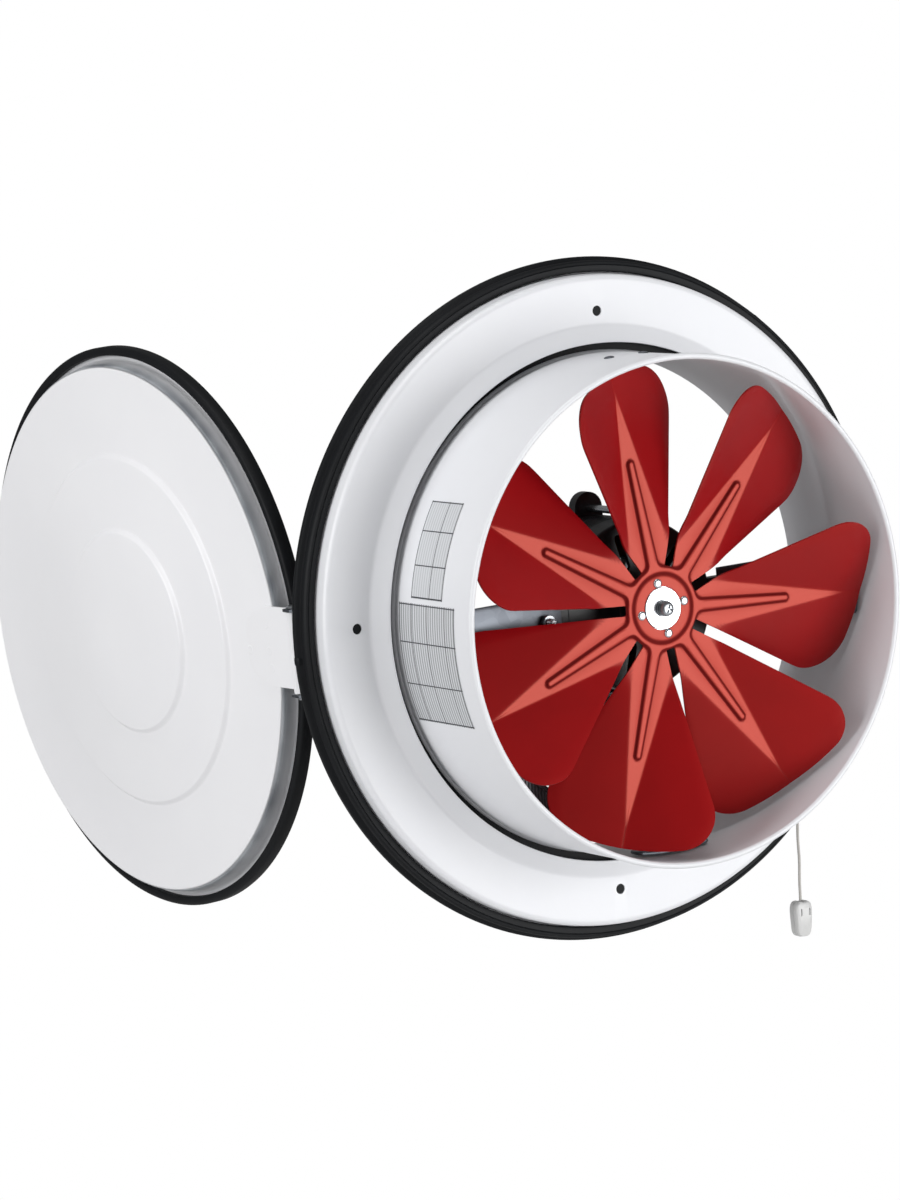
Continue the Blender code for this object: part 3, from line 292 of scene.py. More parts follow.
def sheet_of(mesh, thickness, bevel, least_angle):
    """A mesh thickened to a sheet behind its faces, with its sharp edges broken by a small bevel."""
    obj = loose("sheet", mesh)
    wall = obj.modifiers.new("wall", "SOLIDIFY")
    wall.thickness = thickness
    wall.offset = -1
    edge = obj.modifiers.new("edge", "BEVEL")
    edge.width = bevel
    edge.segments = 2
    edge.limit_method = "ANGLE"
    edge.angle_limit = math.radians(least_angle)
    return settled(obj)


flat_inner = opening_radius + cone_width
plate_path = [(rim_radius, skirt_depth)]
plate_path += arc((skirt_radius + 0.0019, skirt_depth - 0.0015), 0.0015, 90, 180, 4)
plate_path += arc((skirt_radius - corner_radius, corner_radius), corner_radius, 0, -90, 10)
plate_path += [(flat_inner + 0.0012, 0), (flat_inner, -0.0002), (flat_inner - 0.001, -0.0009)]
plate_path += [(opening_radius + 0.0015, -cone_drop + 0.0008), (opening_radius + 0.0004, -cone_drop + 0.0001),
               (opening_radius, -cone_drop)]
drill = [(0, -0.002), (hole_radius, -0.002), (hole_radius, sheet + 0.001), (0, sheet + 0.001)]
drill_mesh = turned_mesh(drill, 32)
drills = []
for k in range(4):
    turn = k * math.pi / 2
    one = drill_mesh.copy()
    one.transform(Matrix.Translation((hole_circle * math.cos(turn), 0, hole_circle * math.sin(turn))))
    drills.append(one)
plate_mesh = carved(turned_mesh(walled(plate_path, sheet), 240), drills)
piece("pressed_plate", plate_mesh, white_coat, "housing", ["mounting_plate"])

# EPDM rubber: near black and matt, with a fine moulded grain that catches a soft edge light.
rubber, shader, place = finish_of("epdm_rubber", 0.5, ior=1.52)
colour_drift(rubber, shader, place, "#0D0E10", "#15171A", 0.02)
shader.inputs["Specular IOR Level"].default_value = 0.14
grain(rubber, shader, place, 0.0009, 0.00006)

ring_tree = bpy.data.node_groups.new("pieces_on_a_circle", "GeometryNodeTree")
for label, kind in (("Piece", "NodeSocketGeometry"), ("Count", "NodeSocketInt"),
                    ("Circle", "NodeSocketFloat"), ("First angle", "NodeSocketFloat"),
                    ("Step angle", "NodeSocketFloat"),
                    ("Depth", "NodeSocketFloat"), ("Finish", "NodeSocketMaterial")):
    ring_tree.interface.new_socket(label, in_out="INPUT", socket_type=kind)
ring_tree.interface.new_socket("Pieces", in_out="OUTPUT", socket_type="NodeSocketGeometry")


class Holder:
    """Lets the node adder work on a geometry tree as it does on a material."""

    node_tree = ring_tree


given = add(Holder, "NodeGroupInput", {}).outputs
spots = add(Holder, "GeometryNodeMeshLine", {"Count": given["Count"], "Offset": (0, 0, 0)})
number = add(Holder, "GeometryNodeInputIndex", {})
angle = add(Holder, "ShaderNodeMath", {0: number.outputs[0], 1: given["Step angle"],
                                       2: given["First angle"]}, operation="MULTIPLY_ADD")
parts = {"Y": given["Depth"]}
for axis, wave in (("X", "COSINE"), ("Z", "SINE")):
    share = add(Holder, "ShaderNodeMath", {0: angle.outputs[0]}, operation=wave)
    parts[axis] = add(Holder, "ShaderNodeMath", {0: share.outputs[0], 1: given["Circle"]},
                      operation="MULTIPLY").outputs[0]
spot = add(Holder, "ShaderNodeCombineXYZ", parts)
placed = add(Holder, "GeometryNodeSetPosition", {"Geometry": spots.outputs[0], "Position": spot.outputs[0]})
back = add(Holder, "ShaderNodeMath", {0: angle.outputs[0], 1: -1.0}, operation="MULTIPLY")
facing = add(Holder, "ShaderNodeCombineXYZ", {"Y": back.outputs[0]})
stood = add(Holder, "GeometryNodeInstanceOnPoints", {"Points": placed.outputs[0], "Instance": given["Piece"],
                                                     "Rotation": facing.outputs[0]})
real = add(Holder, "GeometryNodeRealizeInstances", {"Geometry": stood.outputs[0]})
painted = add(Holder, "GeometryNodeSetMaterial", {"Geometry": real.outputs[0], "Material": given["Finish"]})
add(Holder, "NodeGroupOutput", {"Pieces": painted.outputs[0]})


def ring_of(name, mesh, count, circle, first, depth, material, body, replaced=()):
    """Copies of a small piece on a circle about the fan's axis, a quarter turn apart."""
    obj = loose(name, mesh)
    modifier = obj.modifiers.new("ring", "NODES")
    modifier.node_group = ring_tree
    values = {"Count": count, "Circle": circle, "First angle": first, "Step angle": math.pi / 2,
              "Depth": depth, "Finish": material}
    for item in ring_tree.interface.items_tree:
        if item.name in values:
            modifier[item.identifier] = values[item.name]
    return piece(name, settled(obj), material, body, replaced)


plug_outline = [(0, 0.0005), (hole_radius - 0.0003, 0.0006), (hole_radius, 0.0009), (hole_radius, 0.0011),
                (0.0046, 0.0011), (0.0046, 0.0022), (0.0035, 0.0034), (0, 0.0036)]
ring_of("hole_plugs", turned_mesh(plug_outline, 32), 4, hole_circle, 0.0, 0.0, rubber, "housing")


# Plate gasket: an extruded rubber moulding pushed over the plate's rim. Its front is a flat band,
# then a groove, then the lip that seals against the wall. Two joints in it stand slightly proud.
band_inner = skirt_radius + 0.0011
lip_outer = rim_radius + 0.0035
gasket_outline = [
    (band_inner, skirt_depth - 0.0018),
    (band_inner, 0.0090),
    (band_inner + 0.0005, 0.0083),
    (band_inner + 0.0016, 0.0080),
    (rim_radius - 0.0011, 0.0080),
    (rim_radius - 0.0008, 0.0083),
    (rim_radius - 0.0004, 0.0080),
    (rim_radius + 0.0006, 0.0082),
    (rim_radius + 0.0013, 0.0090),
    (rim_radius + 0.0016, 0.0104),
    (rim_radius + 0.0015, 0.0118),
    (rim_radius + 0.0009, 0.0126),
    (rim_radius + 0.0009, 0.0133),
    (rim_radius + 0.0016, 0.0140),
    (lip_outer - 0.0008, 0.0146),
    (lip_outer - 0.0001, 0.0154),
    (lip_outer, 0.0166),
    (lip_outer - 0.0002, 0.0178),
    (lip_outer - 0.0010, 0.0184),
    (rim_radius - 0.0030, 0.0186),
    (band_inner + 0.0022, 0.0184),
    (band_inner + 0.0016, 0.0176),
    (band_inner + 0.0016, skirt_depth + sheet + 0.0002),
    (rim_radius + 0.0002, skirt_depth + sheet + 0.0002),
    (rim_radius + 0.0002, skirt_depth - 0.0002),
    (band_inner + 0.0018, skirt_depth - 0.0002),
]
piece("rubber_rim", turned_mesh(gasket_outline, 240), rubber, "housing", ["plate_gasket"])


def capped_tube(bm, rings):
    """Mesh of a closed body through rings of points, with a flat face on each end."""
    count = len(rings[0])
    for lower, upper in zip(rings, rings[1:]):
        for i in range(count):
            j = (i + 1) % count
            bm.faces.new((lower[i], lower[j], upper[j], upper[i]))
    bm.faces.new(rings[0])
    bm.faces.new(rings[-1])
    bm.normal_update()
    bmesh.ops.recalc_face_normals(bm, faces=bm.faces)
    return mesh_of(bm)


joint_span = math.radians(1.3)
joint_outline = ((0.0006, 0.0181, 0), (0, 0.0176, 0), (0, 0.0156, 0), (0.0008, 0.0146, 1),
                 (0.0026, 0.0139, 1), (0.0026, 0.0181, 0))
for label, joint_turn in (("left", math.radians(184.9)), ("right", math.radians(52.0))):
    bm = bmesh.new()
    rings = []
    for k in range(5):
        turn = joint_turn + joint_span * (k / 4 - 0.5)
        swell = 0.00035 if 0 < k < 4 else 0.00005
        rings.append([bm.verts.new(((lip_outer - drop + swell) * math.cos(turn), depth - swell * front,
                                    (lip_outer - drop + swell) * math.sin(turn)))
                      for drop, depth, front in joint_outline])
    piece("rubber_joint_" + label, capped_tube(bm, rings), rubber, "housing")


# Ring that the lid closes on: a light pressing welded round the drum behind the plate, and a black rubber
# ring that fills the corner between them, whose black is partly painted shade for the deep gap there.
seat_radius = 0.1476
seat_height = 0.0092
seat_back = sheet + 0.0003
collar_radius = drum_outside + 0.0003
seat_path = [(seat_radius, seat_height), (seat_radius, seat_back + 0.0008)]
seat_path += arc((seat_radius - 0.0008, seat_back + 0.0008), 0.0008, 0, -90, 4)
seat_path += [(seat_radius - 0.003, seat_back), (seat_radius - 0.005, seat_back + 0.0018),
              (collar_radius + 0.0012, seat_back + 0.0018)]
seat_path += arc((collar_radius + 0.0012, seat_back + 0.003), 0.0012, 270, 180, 4)
seat_path += [(collar_radius, seat_back + 0.0088)]
piece("lid_seat", turned_mesh(walled(seat_path, drum_wall), 240), white_coat, "housing",
      ["lid_seat_ring"])
# A black rubber ring; its black is partly painted shade for the deep gap behind the plate's opening.
dark_ring_outline = [(collar_radius, 0.0028), (collar_radius + 0.0054, 0.0028), (collar_radius + 0.0054, 0.0012),
                (collar_radius + 0.0050, 0.0008), (collar_radius, 0.0008)]
piece("corner_dark_ring", turned_mesh(dark_ring_outline, 240), rubber, "housing", ["drum_seal"])


# Motor: a shaded-pole induction motor. Two die-cast bells clamp the laminated core, with cooling
# slots, four lugs each and a boss for the bearing. Stove-enamelled black.
motor_radius = 0.045
motor_front = 0.029
motor_rear = 0.019
core_front = 0.0137
core_rear = 0.0037
boss_radius = 0.012
bearing_seat = 0.0083
motor_turn = math.radians(3)
lug_circle = 0.0585
tie_circle = 0.049

# Black stove enamel on a die casting: satin, with the faint roughness of the cast skin under it.
black_enamel = coated("black_stove_enamel", 0.38, ("#1A1B1D", "#232528", 0.012), (0.0011, 0.00005))


def slab(outline, rear, front):
    """Mesh of a flat outline of (x, z) points between two depths."""
    bm = bmesh.new()
    return capped_tube(bm, [[bm.verts.new((x, depth, z)) for x, z in outline] for depth in (rear, front)])


def about_axis(mesh, turns):
    """Copies of a mesh turned about the fan's axis."""
    meshes = []
    for turn in turns:
        one = mesh.copy()
        one.transform(Matrix.Rotation(-turn, 4, "Y"))
        meshes.append(one)
    return meshes


def slot_outline(start, end, half):
    """A slot with round ends along X."""
    return arc((end, 0), half, -90, 90, 8) + arc((start, 0), half, 90, 270, 8)


def lug_outline(root, circle, half):
    """A lug that leaves the bell's wall and ends round."""
    return [(root, -half)] + arc((circle, 0), half, -90, 90, 14) + [(root, half)]


def bell(name, outline, circle, half, lug_depths, slot_depths):
    """A motor bell: a turned shell with a lug at each quarter turn and twelve cooling slots."""
    lugs = about_axis(slab(lug_outline(0.0438, circle, half), *lug_depths), quarter_turns)
    slots = about_axis(slab(slot_outline(0.022, 0.0375, 0.0022), *slot_depths), slot_turns)
    shell = carved(carved(turned_mesh(outline, 96), lugs, "UNION"), slots)
    piece(name, shell, black_enamel, "housing", ["motor_" + name])


sides = ("right", "top", "left", "bottom")
quarter_turns = [motor_turn + k * math.pi / 2 for k in range(4)]
slot_turns = [motor_turn + math.radians(15 + 30 * k) for k in range(12)]
bell_wall = 0.0025
front_outline = [(motor_radius - bell_wall, -core_front - 0.0003), (motor_radius, -core_front - 0.0003)]
front_outline += arc((motor_radius - 0.002, -motor_front + 0.002), 0.002, 0, -90, 6)
front_outline += arc((boss_radius + 0.0012, -motor_front - 0.0012), 0.0012, 90, 180, 5)
front_outline += arc((boss_radius - 0.0008, -motor_front - 0.0042), 0.0008, 0, -90, 4)
front_outline += [(bearing_seat, -motor_front - 0.005), (bearing_seat, -motor_front + 0.0052),
                  (boss_radius, -motor_front + 0.0052),
                  (boss_radius, -motor_front + bell_wall),
                  (motor_radius - bell_wall, -motor_front + bell_wall)]
bell("front_bell", front_outline, lug_circle, 0.008, (-motor_front, -motor_front + 0.006),
     (-motor_front - 0.003, -motor_front + 0.006))

rear_outline = [(motor_radius - bell_wall, core_rear + 0.0003), (motor_radius, core_rear + 0.0003)]
rear_outline += arc((motor_radius - 0.002, motor_rear - 0.002), 0.002, 0, 90, 6)
rear_outline += [(boss_radius + 0.0008, motor_rear), (boss_radius, motor_rear + 0.001),
                 (bearing_seat, motor_rear + 0.001), (bearing_seat, motor_rear - 0.010),
                 (boss_radius, motor_rear - 0.010), (boss_radius, motor_rear - bell_wall),
                 (motor_radius - bell_wall, motor_rear - bell_wall)]
bell("rear_bell", rear_outline, tie_circle, 0.0085, (motor_rear - 0.007, motor_rear - 0.001),
     (motor_rear - 0.006, motor_rear + 0.003))

lamination = 0.001
core_outline = [(0.0242, -core_front), (0.0242, core_rear)]
for k in range(17):
    rear = core_rear - k * lamination
    core_outline += [(motor_radius - 0.0003, rear), (motor_radius, rear - 0.0003),
                     (motor_radius, rear - 0.0007)]
core_outline += [(motor_radius - 0.0003, -core_front)]
piece("core_stack", turned_mesh(core_outline, 96), black_enamel, "housing", ["stator_core"])

# Enamelled copper wire, sintered bronze bushes and bright turned steel, all inside the bells.
copper, shader, place = finish_of("enamelled_copper", 0.35, 1.0)
colour_drift(copper, shader, place, "#B4623A", "#8E4526", 0.004)
turns = add(copper, "ShaderNodeTexWave", {"Vector": place, "Scale": 1 / 0.0012}, bands_direction="Y")
bump = add(copper, "ShaderNodeBump", {"Height": turns.outputs["Fac"], "Distance": 0.0002})
copper.node_tree.links.new(bump.outputs["Normal"], shader.inputs["Normal"])
bronze = coated("sintered_bronze", 0.45, ("#A07B4C", "#86653B", 0.003), (0.0005, 0.00003), 1.0)
steel = coated("bright_steel", 0.28, ("#A2A5A9", "#8B8E92", 0.004), (0.0006, 0.00001), 1.0)


def refinish(material, *names):
    """Give CAD nodes that keep their own shape a finished material."""
    for name in names:
        for spot in nodes[name].material_slots:
            spot.material = material


refinish(copper, "front_winding", "rear_winding")
refinish(bronze, "front_bearing", "rear_bearing")
refinish(steel, "rotor", "motor_shaft")


# Motor arms: four straps blanked from galvanised sheet, bolted to the front lugs and bent along the
# drum's wall, where two rivets hold each foot.
arm_rear = -0.0293
arm_wall = 0.0015
foot_radius = 0.12895
arm_half = 0.013
foot_half = 0.0225
bend = 0.0028

# Hot-dip galvanised strip: dull grey zinc with a soft spangle of about 6 mm.
galvanised, shader, place = finish_of("galvanised_strip", 0.44, 1.0)
spangle = add(galvanised, "ShaderNodeTexVoronoi", {"Vector": place, "Scale": 1 / 0.006})
tone = add(galvanised, "ShaderNodeSeparateColor", {"Color": spangle.outputs["Color"]})
bloom = add(galvanised, "ShaderNodeMix", {"Factor": tone.outputs["Red"], "A": "#5C5F65", "B": "#696D73"},
            data_type="RGBA")
galvanised.node_tree.links.new(bloom.outputs["Result"], shader.inputs["Base Color"])
grain(galvanised, shader, place, 0.0015, 0.00002)

arm_path = [(0.049, arm_rear, arm_half, 0), (0.070, arm_rear, arm_half, 0), (0.092, arm_rear, arm_half, 0),
            (foot_radius - 0.012, arm_rear, arm_half, 0.2)]
for k in range(7):
    turn = math.pi / 2 * k / 6
    arm_path.append((foot_radius - bend + bend * math.sin(turn), arm_rear - bend + bend * math.cos(turn),
                     arm_half + (foot_half - arm_half - 0.002) * k / 6, 1))
for depth, half in ((0.0060, foot_half - 0.0006), (0.0100, foot_half), (0.0130, foot_half - 0.0006),
                    (0.0142, foot_half - 0.0022)):
    arm_path.append((foot_radius, arm_rear - depth, half, 1))
for k, side in enumerate(sides):
    bm = bmesh.new()
    rows = []
    for radius, depth, half, curved in arm_path:
        row = []
        for i in range(13):
            across = half * (1 - i / 6)
            flat = Vector((radius, depth, across))
            round_spot = Vector((radius * math.cos(across / foot_radius), depth,
                                 radius * math.sin(across / foot_radius)))
            bent = flat.lerp(round_spot, curved)
            row.append(bm.verts.new(Matrix.Rotation(-quarter_turns[k], 3, "Y") @ bent))
        rows.append(row)
    for low, high in zip(rows, rows[1:]):
        for i in range(12):
            bm.faces.new((low[i], high[i], high[i + 1], low[i + 1]))
    piece("arm_" + side, sheet_of(mesh_of(bm), arm_wall, 0.0003, 30), galvanised, "housing",
          ["bracket_arm_" + side])

# Fasteners: M4 bolts and nuts, zinc plated and passivated, so bright with a faint blue cast.
zinc = coated("zinc_plate", 0.24, ("#DADCDF", "#C6C9CE", 0.003), (0.0008, 0.000008), 1.0)

nut_rear = arm_rear - arm_wall - 0.0003
nut_front = nut_rear - 0.0032
tip = nut_front - 0.0042
thread_pitch = 0.0007
bolt_rear = -motor_front + 0.0091
bolt_outline = [(0, bolt_rear), (0.0030, bolt_rear), (0.0035, bolt_rear - 0.0005),
                (0.0035, bolt_rear - 0.0028), (0.0020, bolt_rear - 0.0028)]
turn_count = 14
for k in range(turn_count):
    depth = tip + 0.0004 + thread_pitch * (turn_count - k)
    bolt_outline += [(0.0020, depth), (0.00172, depth - thread_pitch / 2)]
bolt_outline += [(0.0016, tip + 0.0002), (0.0013, tip), (0, tip)]
ring_of("arm_bolts", turned_mesh(bolt_outline, 20), 4, lug_circle, motor_turn, 0.0, zinc, "housing",
        ["arm_bolt_" + side for side in sides])


def hexagon(across_flats, rear, front, bore):
    """Mesh of a hexagon nut with chamfered corners."""
    corner = across_flats / math.sqrt(3)
    body = slab([(corner * math.cos(math.pi / 3 * k), corner * math.sin(math.pi / 3 * k)) for k in range(6)],
                rear, front)
    chamfer = corner * 1.02
    middle = (rear + front) / 2
    reach = abs(rear - front) / 2
    dome = turned_mesh([(0, middle - reach), (across_flats / 2, middle - reach),
                        (chamfer, middle - reach * 0.55), (chamfer, middle + reach * 0.55),
                        (across_flats / 2, middle + reach), (0, middle + reach)], 36)
    hole = turned_mesh([(0, middle - 2 * reach), (bore, middle - 2 * reach),
                        (bore, middle + 2 * reach), (0, middle + 2 * reach)], 24)
    return carved(carved(body, [dome], "INTERSECT"), [hole])


ring_of("arm_nuts", hexagon(0.0070, nut_rear, nut_front, 0.0021), 4, lug_circle, motor_turn, 0.0, steel,
        "housing", ["arm_nut_" + side for side in sides])
tie_outline = [(0, 0.0211), (0.0030, 0.0211), (0.0035, 0.0206), (0.0035, 0.0183), (0.0020, 0.0183),
               (0.0020, -motor_front + 0.0014), (0.0014, -motor_front + 0.0008), (0, -motor_front + 0.0008)]
ring_of("tie_bolts", turned_mesh(tie_outline, 20), 4, tie_circle, motor_turn, 0.0, zinc, "housing",
        ["motor_tie_bolt_" + side for side in sides])

# Rivets of the arms' feet: low steel domes on both sides of the drum's wall. The left foot has no outer
# heads, because the foil plate is stuck over them.
rivet_offset = math.radians(4.6)
rivet_depth = -0.0367
rivet_bm = bmesh.new()
bmesh.ops.create_uvsphere(rivet_bm, u_segments=20, v_segments=10, radius=0.0028)
for vertex in rivet_bm.verts:
    vertex.co = (vertex.co.z * 0.34, vertex.co.y, vertex.co.x)
rivet_bm.normal_update()
bmesh.ops.recalc_face_normals(rivet_bm, faces=rivet_bm.faces)
rivet_mesh = mesh_of(rivet_bm)
for label, offset in (("a", rivet_offset), ("b", -rivet_offset)):
    ring_of("foot_rivet_heads_" + label, rivet_mesh.copy(), 3, drum_outside,
            motor_turn + offset - math.pi / 2, rivet_depth, galvanised, "housing")
    ring_of("foot_rivet_tails_" + label, rivet_mesh.copy(), 4, foot_radius - arm_wall, motor_turn + offset,
            rivet_depth, galvanised, "housing")


# Impeller: one disc of sheet steel, blanked to seven blades, pressed with a raised star and folded
# along a facet down each blade. It is enamelled red after pressing.
blade_count = 7
blade_wall = 0.001
tip_radius = 0.1255
first_blade = math.radians(101.8)
slot_width = 0.0055
near_fold = math.radians(31)
far_fold = math.radians(22)
near_fillet = 0.0185
far_fillet = 0.0215
fold_start = 0.028
fold_end = 0.050
facet_tip = 0.116
facet_slope = 0.15
star_height = 0.001
star_radius = 0.021
ray_root_half = 0.0026
ray_tip_half = 0.0012
ray_end = 0.0784
ramp = 0.0015
impeller_front = 0.0512
hub_hole = 0.0113
groove_circle = 0.0179
groove_depth = 0.0006
trough_depth = 0.00035
groove_half = 0.0009
slot_foot = star_radius + 0.0010
slot_corner = 0.0010
half_sector = math.pi / blade_count


def smooth_step(value):
    """0 below 0, 1 above 1 and a soft rise between."""
    value = min(max(value, 0), 1)
    return value * value * (3 - 2 * value)


def blade_edge(radius, fillet):
    """Angle from a blade's middle line to its edge, in the flat sheet."""
    gap = slot_width / 2
    if radius <= slot_foot:
        return half_sector
    if radius < slot_foot + slot_corner:
        corner = math.sqrt(slot_corner ** 2 - (slot_foot + slot_corner - radius) ** 2)
        return half_sector - math.asin((gap - slot_corner + corner) / radius)
    circle = tip_radius - fillet
    fillet_angle = half_sector - math.asin((gap + fillet) / circle)
    straight_end = math.hypot(math.sqrt(circle ** 2 - (gap + fillet) ** 2), gap)
    if radius <= straight_end:
        return half_sector - math.asin(gap / radius)
    spread = (radius ** 2 + circle ** 2 - fillet ** 2) / (2 * radius * circle)
    return fillet_angle + math.acos(min(1, spread))


def ray_half(along):
    """Half width of the raised ray at a distance from the axis."""
    share = (along - star_radius) / (ray_end - star_radius)
    return ray_root_half + (ray_tip_half - ray_root_half) * min(max(share, 0), 1)


def facet_half(radius):
    """Half width of the flat facet down a blade's middle."""
    return max(facet_slope * (facet_tip - radius), 0.0002)


def star_edge(radius, angle):
    """Distance to the outline of the raised star, more than 0 outside it."""
    outside = radius - star_radius
    for k in (-1, 0, 1):
        turn = angle - 2 * half_sector * k
        along, across = radius * math.cos(turn), radius * math.sin(turn)
        width = ray_half(along)
        past = max(along - (ray_end - ray_tip_half), 0)
        ray = math.hypot(past, across) - width if along > 0 else radius
        blend = max(0.004 - abs(outside - ray), 0) / 0.004
        outside = min(outside, ray) - blend * blend * 0.001
    return outside


def bell_curve(distance, half):
    """1 at no distance, with a soft fall on both sides."""
    return math.exp(-(distance / half) ** 2)


def star_level(radius, angle):
    """How far the sheet lies behind the star's top: a ramp with a trough round it, and a ring groove."""
    outside = star_edge(radius, angle)
    level = star_height * smooth_step((outside + 0.0001) / ramp)
    level += trough_depth * bell_curve(outside - ramp * 0.6, ramp * 0.4)
    return level + groove_depth * bell_curve(radius - groove_circle, groove_half)


def crease_shade_and_dullness(radius, angle):
    """1 in the pressed lines, which take a painted shade and a duller finish, and 0 away from them."""
    edge_line = smooth_step(1.6 - abs(star_edge(radius, angle) - 0.0007) / 0.0008)
    return max(edge_line, smooth_step(1.6 - abs(radius - groove_circle) / 0.0010))


def facet_sheen_share(radius, angle):
    """Share of a paler painted sheen: 1 on the flat facet down the middle of a blade, 0 on the folded panels.
    """
    past = abs(radius * math.sin(angle)) - facet_half(radius)
    return (1 - smooth_step(past / 0.0012 + 0.6)) * (1 - smooth_step((radius - 0.106) / 0.010))


def blade_spot(radius, angle):
    """A point of the sheet after pressing and folding, for the blade that lies along X."""
    along, across = radius * math.cos(angle), radius * math.sin(angle)
    past = abs(across) - facet_half(radius)
    softness = 0.0007
    spare = (past + math.sqrt(past * past + softness * softness)) / 2
    fold = smooth_step((radius - fold_start) / (fold_end - fold_start))
    fold *= near_fold if angle > 0 else far_fold
    side = math.copysign(1, angle)
    depth = -impeller_front + star_level(radius, angle) - side * spare * math.sin(fold)
    return Vector((along, depth, side * (abs(across) - spare + spare * math.cos(fold))))


def blade_columns(radius, side, fillet):
    """Angles of a row of points from the blade's middle to its edge, denser along the pressed lines."""
    edge = blade_edge(radius, fillet)
    reach = radius * math.sin(edge)
    width = ray_half(radius)
    facet = facet_half(radius)
    wanted = [0.5 * width] + [width + offset for offset in (-0.0002, 0.0003, 0.0006, 0.0009, 0.0013, 0.0019)]
    wanted = [min(value, facet * share) for value, share in
              zip(wanted, (0.10, 0.20, 0.28, 0.36, 0.44, 0.54, 0.64))]
    wanted += [facet - min(0.0010, 0.2 * facet), facet - min(0.0004, 0.08 * facet), facet + 0.0003]
    wanted += [facet + 0.0010, facet + 0.0022]
    shares = (0.12, 0.26, 0.32, 0.38, 0.44, 0.50, 0.56, 0.66, 0.72, 0.78, 0.84, 0.90)
    spots = [min(value, reach * share) for value, share in zip(wanted, shares)]
    last = spots[-1]
    spots += [last + (reach - last) * share for share in (0.2, 0.4, 0.6, 0.8)]
    return [side * math.asin(spot / radius) for spot in spots] + [side * edge]


row_radii = [hub_hole, 0.0125, 0.014, 0.016, 0.0171, 0.0175, 0.0179, 0.0184, 0.0189, 0.0193, 0.0198, 0.0203,
             0.0208, 0.0211, 0.0214, 0.0217, slot_foot, 0.0221, 0.0223, 0.0226, 0.0230, 0.0236, 0.0243,
             0.0251, 0.0260, 0.0272]
row_radii += [0.0285 + 0.0021 * k for k in range(22)]
row_radii += [0.0744, 0.0752, 0.0760, 0.0766, 0.0771, 0.0776, 0.0781, 0.0786, 0.0791, 0.0797, 0.0806]
row_radii += [0.083 + 0.0028 * k for k in range(7)]
tip_rows = 18
row_radii += [tip_radius - far_fillet * (1 - math.sin(math.pi / 2 * k / tip_rows))
              for k in range(tip_rows + 1)]
impeller_bm = bmesh.new()
# Per point: a share of painted shade and dullness in the pressed lines, and a share of painted sheen on the
# facets.
crease = impeller_bm.verts.layers.float.new("crease")
facet = impeller_bm.verts.layers.float.new("facet")
for k in range(blade_count):
    turn = Matrix.Rotation(-(first_blade - k * 2 * half_sector), 3, "Y")
    rows = []
    for radius in row_radii:
        near = blade_columns(radius, 1, near_fillet)
        far = blade_columns(radius, -1, far_fillet)
        angles = near[::-1] + [0] + far
        row = []
        for angle in angles:
            vertex = impeller_bm.verts.new(turn @ blade_spot(radius, angle))
            vertex[crease] = crease_shade_and_dullness(radius, angle)
            vertex[facet] = facet_sheen_share(radius, angle)
            row.append(vertex)
        rows.append(row)
    for low, high in zip(rows, rows[1:]):
        for i in range(len(low) - 1):
            impeller_bm.faces.new((low[i], low[i + 1], high[i + 1], high[i]))
bmesh.ops.remove_doubles(impeller_bm, verts=impeller_bm.verts, dist=0.00002)
bmesh.ops.recalc_face_normals(impeller_bm, faces=impeller_bm.faces)
impeller_bm.faces.ensure_lookup_table()
if impeller_bm.faces[0].normal.y > 0:
    bmesh.ops.reverse_faces(impeller_bm, faces=impeller_bm.faces)
impeller_mesh = sheet_of(mesh_of(impeller_bm), blade_wall, 0.00022, 60)

# Red stoving enamel over steel: half gloss, with a very faint ripple of the sheet below. A paler painted
# sheen lies on the flat facets, and a painted shade with a duller finish lies in the pressed lines.
red_enamel, shader, place = finish_of("red_stove_enamel", 0.33)
paint = colour_drift(red_enamel, shader, place, "#990B12", "#870910", 0.03)
# The facet tone is a painted sheen, and the crease tone is a painted shade.
for share_name, tone in (("facet", "#B9372F"), ("crease", "#66070C")):
    share = add(red_enamel, "ShaderNodeAttribute", {}, attribute_name=share_name).outputs["Fac"]
    mixed = add(red_enamel, "ShaderNodeMix", {"Factor": share, "A": paint, "B": tone}, data_type="RGBA")
    paint = mixed.outputs["Result"]
red_enamel.node_tree.links.new(paint, shader.inputs["Base Color"])
dullness = add(red_enamel, "ShaderNodeMapRange", {"Value": share, "To Min": 0.33, "To Max": 0.85})
red_enamel.node_tree.links.new(dullness.outputs["Result"], shader.inputs["Roughness"])
grain(red_enamel, shader, place, 0.0035, 0.00002)
shader.inputs["Specular IOR Level"].default_value = 0.5
shader.inputs["Specular Tint"].default_value = (1.0, 0.40, 0.30, 1.0)
piece("pressed_impeller", impeller_mesh, red_enamel, "spinner", ["impeller"], 40)


# Hub: a turned steel hub, zinc plated, whose flange lies behind the impeller and is held by four
# rivets. A cross-slot screw with a flat and a split washer clamps it on the motor's shaft.
hub_outline = [(0.0070, -0.0363), (0.0070, -0.0479), (0.0165, -0.0479), (0.0170, -0.0484), (0.0170, -0.0496),
               (0.0167, -0.0499), (0.0110, -0.0499), (0.0110, -0.05135), (0.0107, -0.05165),
               (0.0022, -0.05165), (0.0022, -0.0509), (0.0043, -0.0509), (0.0043, -0.0363)]
piece("turned_hub", turned_mesh(hub_outline, 96), zinc, "spinner", ["impeller_hub"])
head = -impeller_front - 0.0003
head_radius = 0.0024
rivet_outline = [(0, head - 0.0008), (0.0010, head - 0.00078), (0.0017, head - 0.00066),
                 (0.0022, head - 0.0004), (head_radius, head - 0.0001), (head_radius, head + 0.0001),
                 (0.0013, head + 0.0001),
                 (0.0013, -0.0476), (0.0020, -0.0476), (0.0020, -0.0472), (0.0014, -0.0468), (0, -0.0466)]
ring_of("hub_rivets", turned_mesh(rivet_outline, 28), 4, 0.0134, math.radians(12.0), 0.0, zinc,
        "spinner", ["impeller_rivet_%d" % k for k in range(1, 5)])

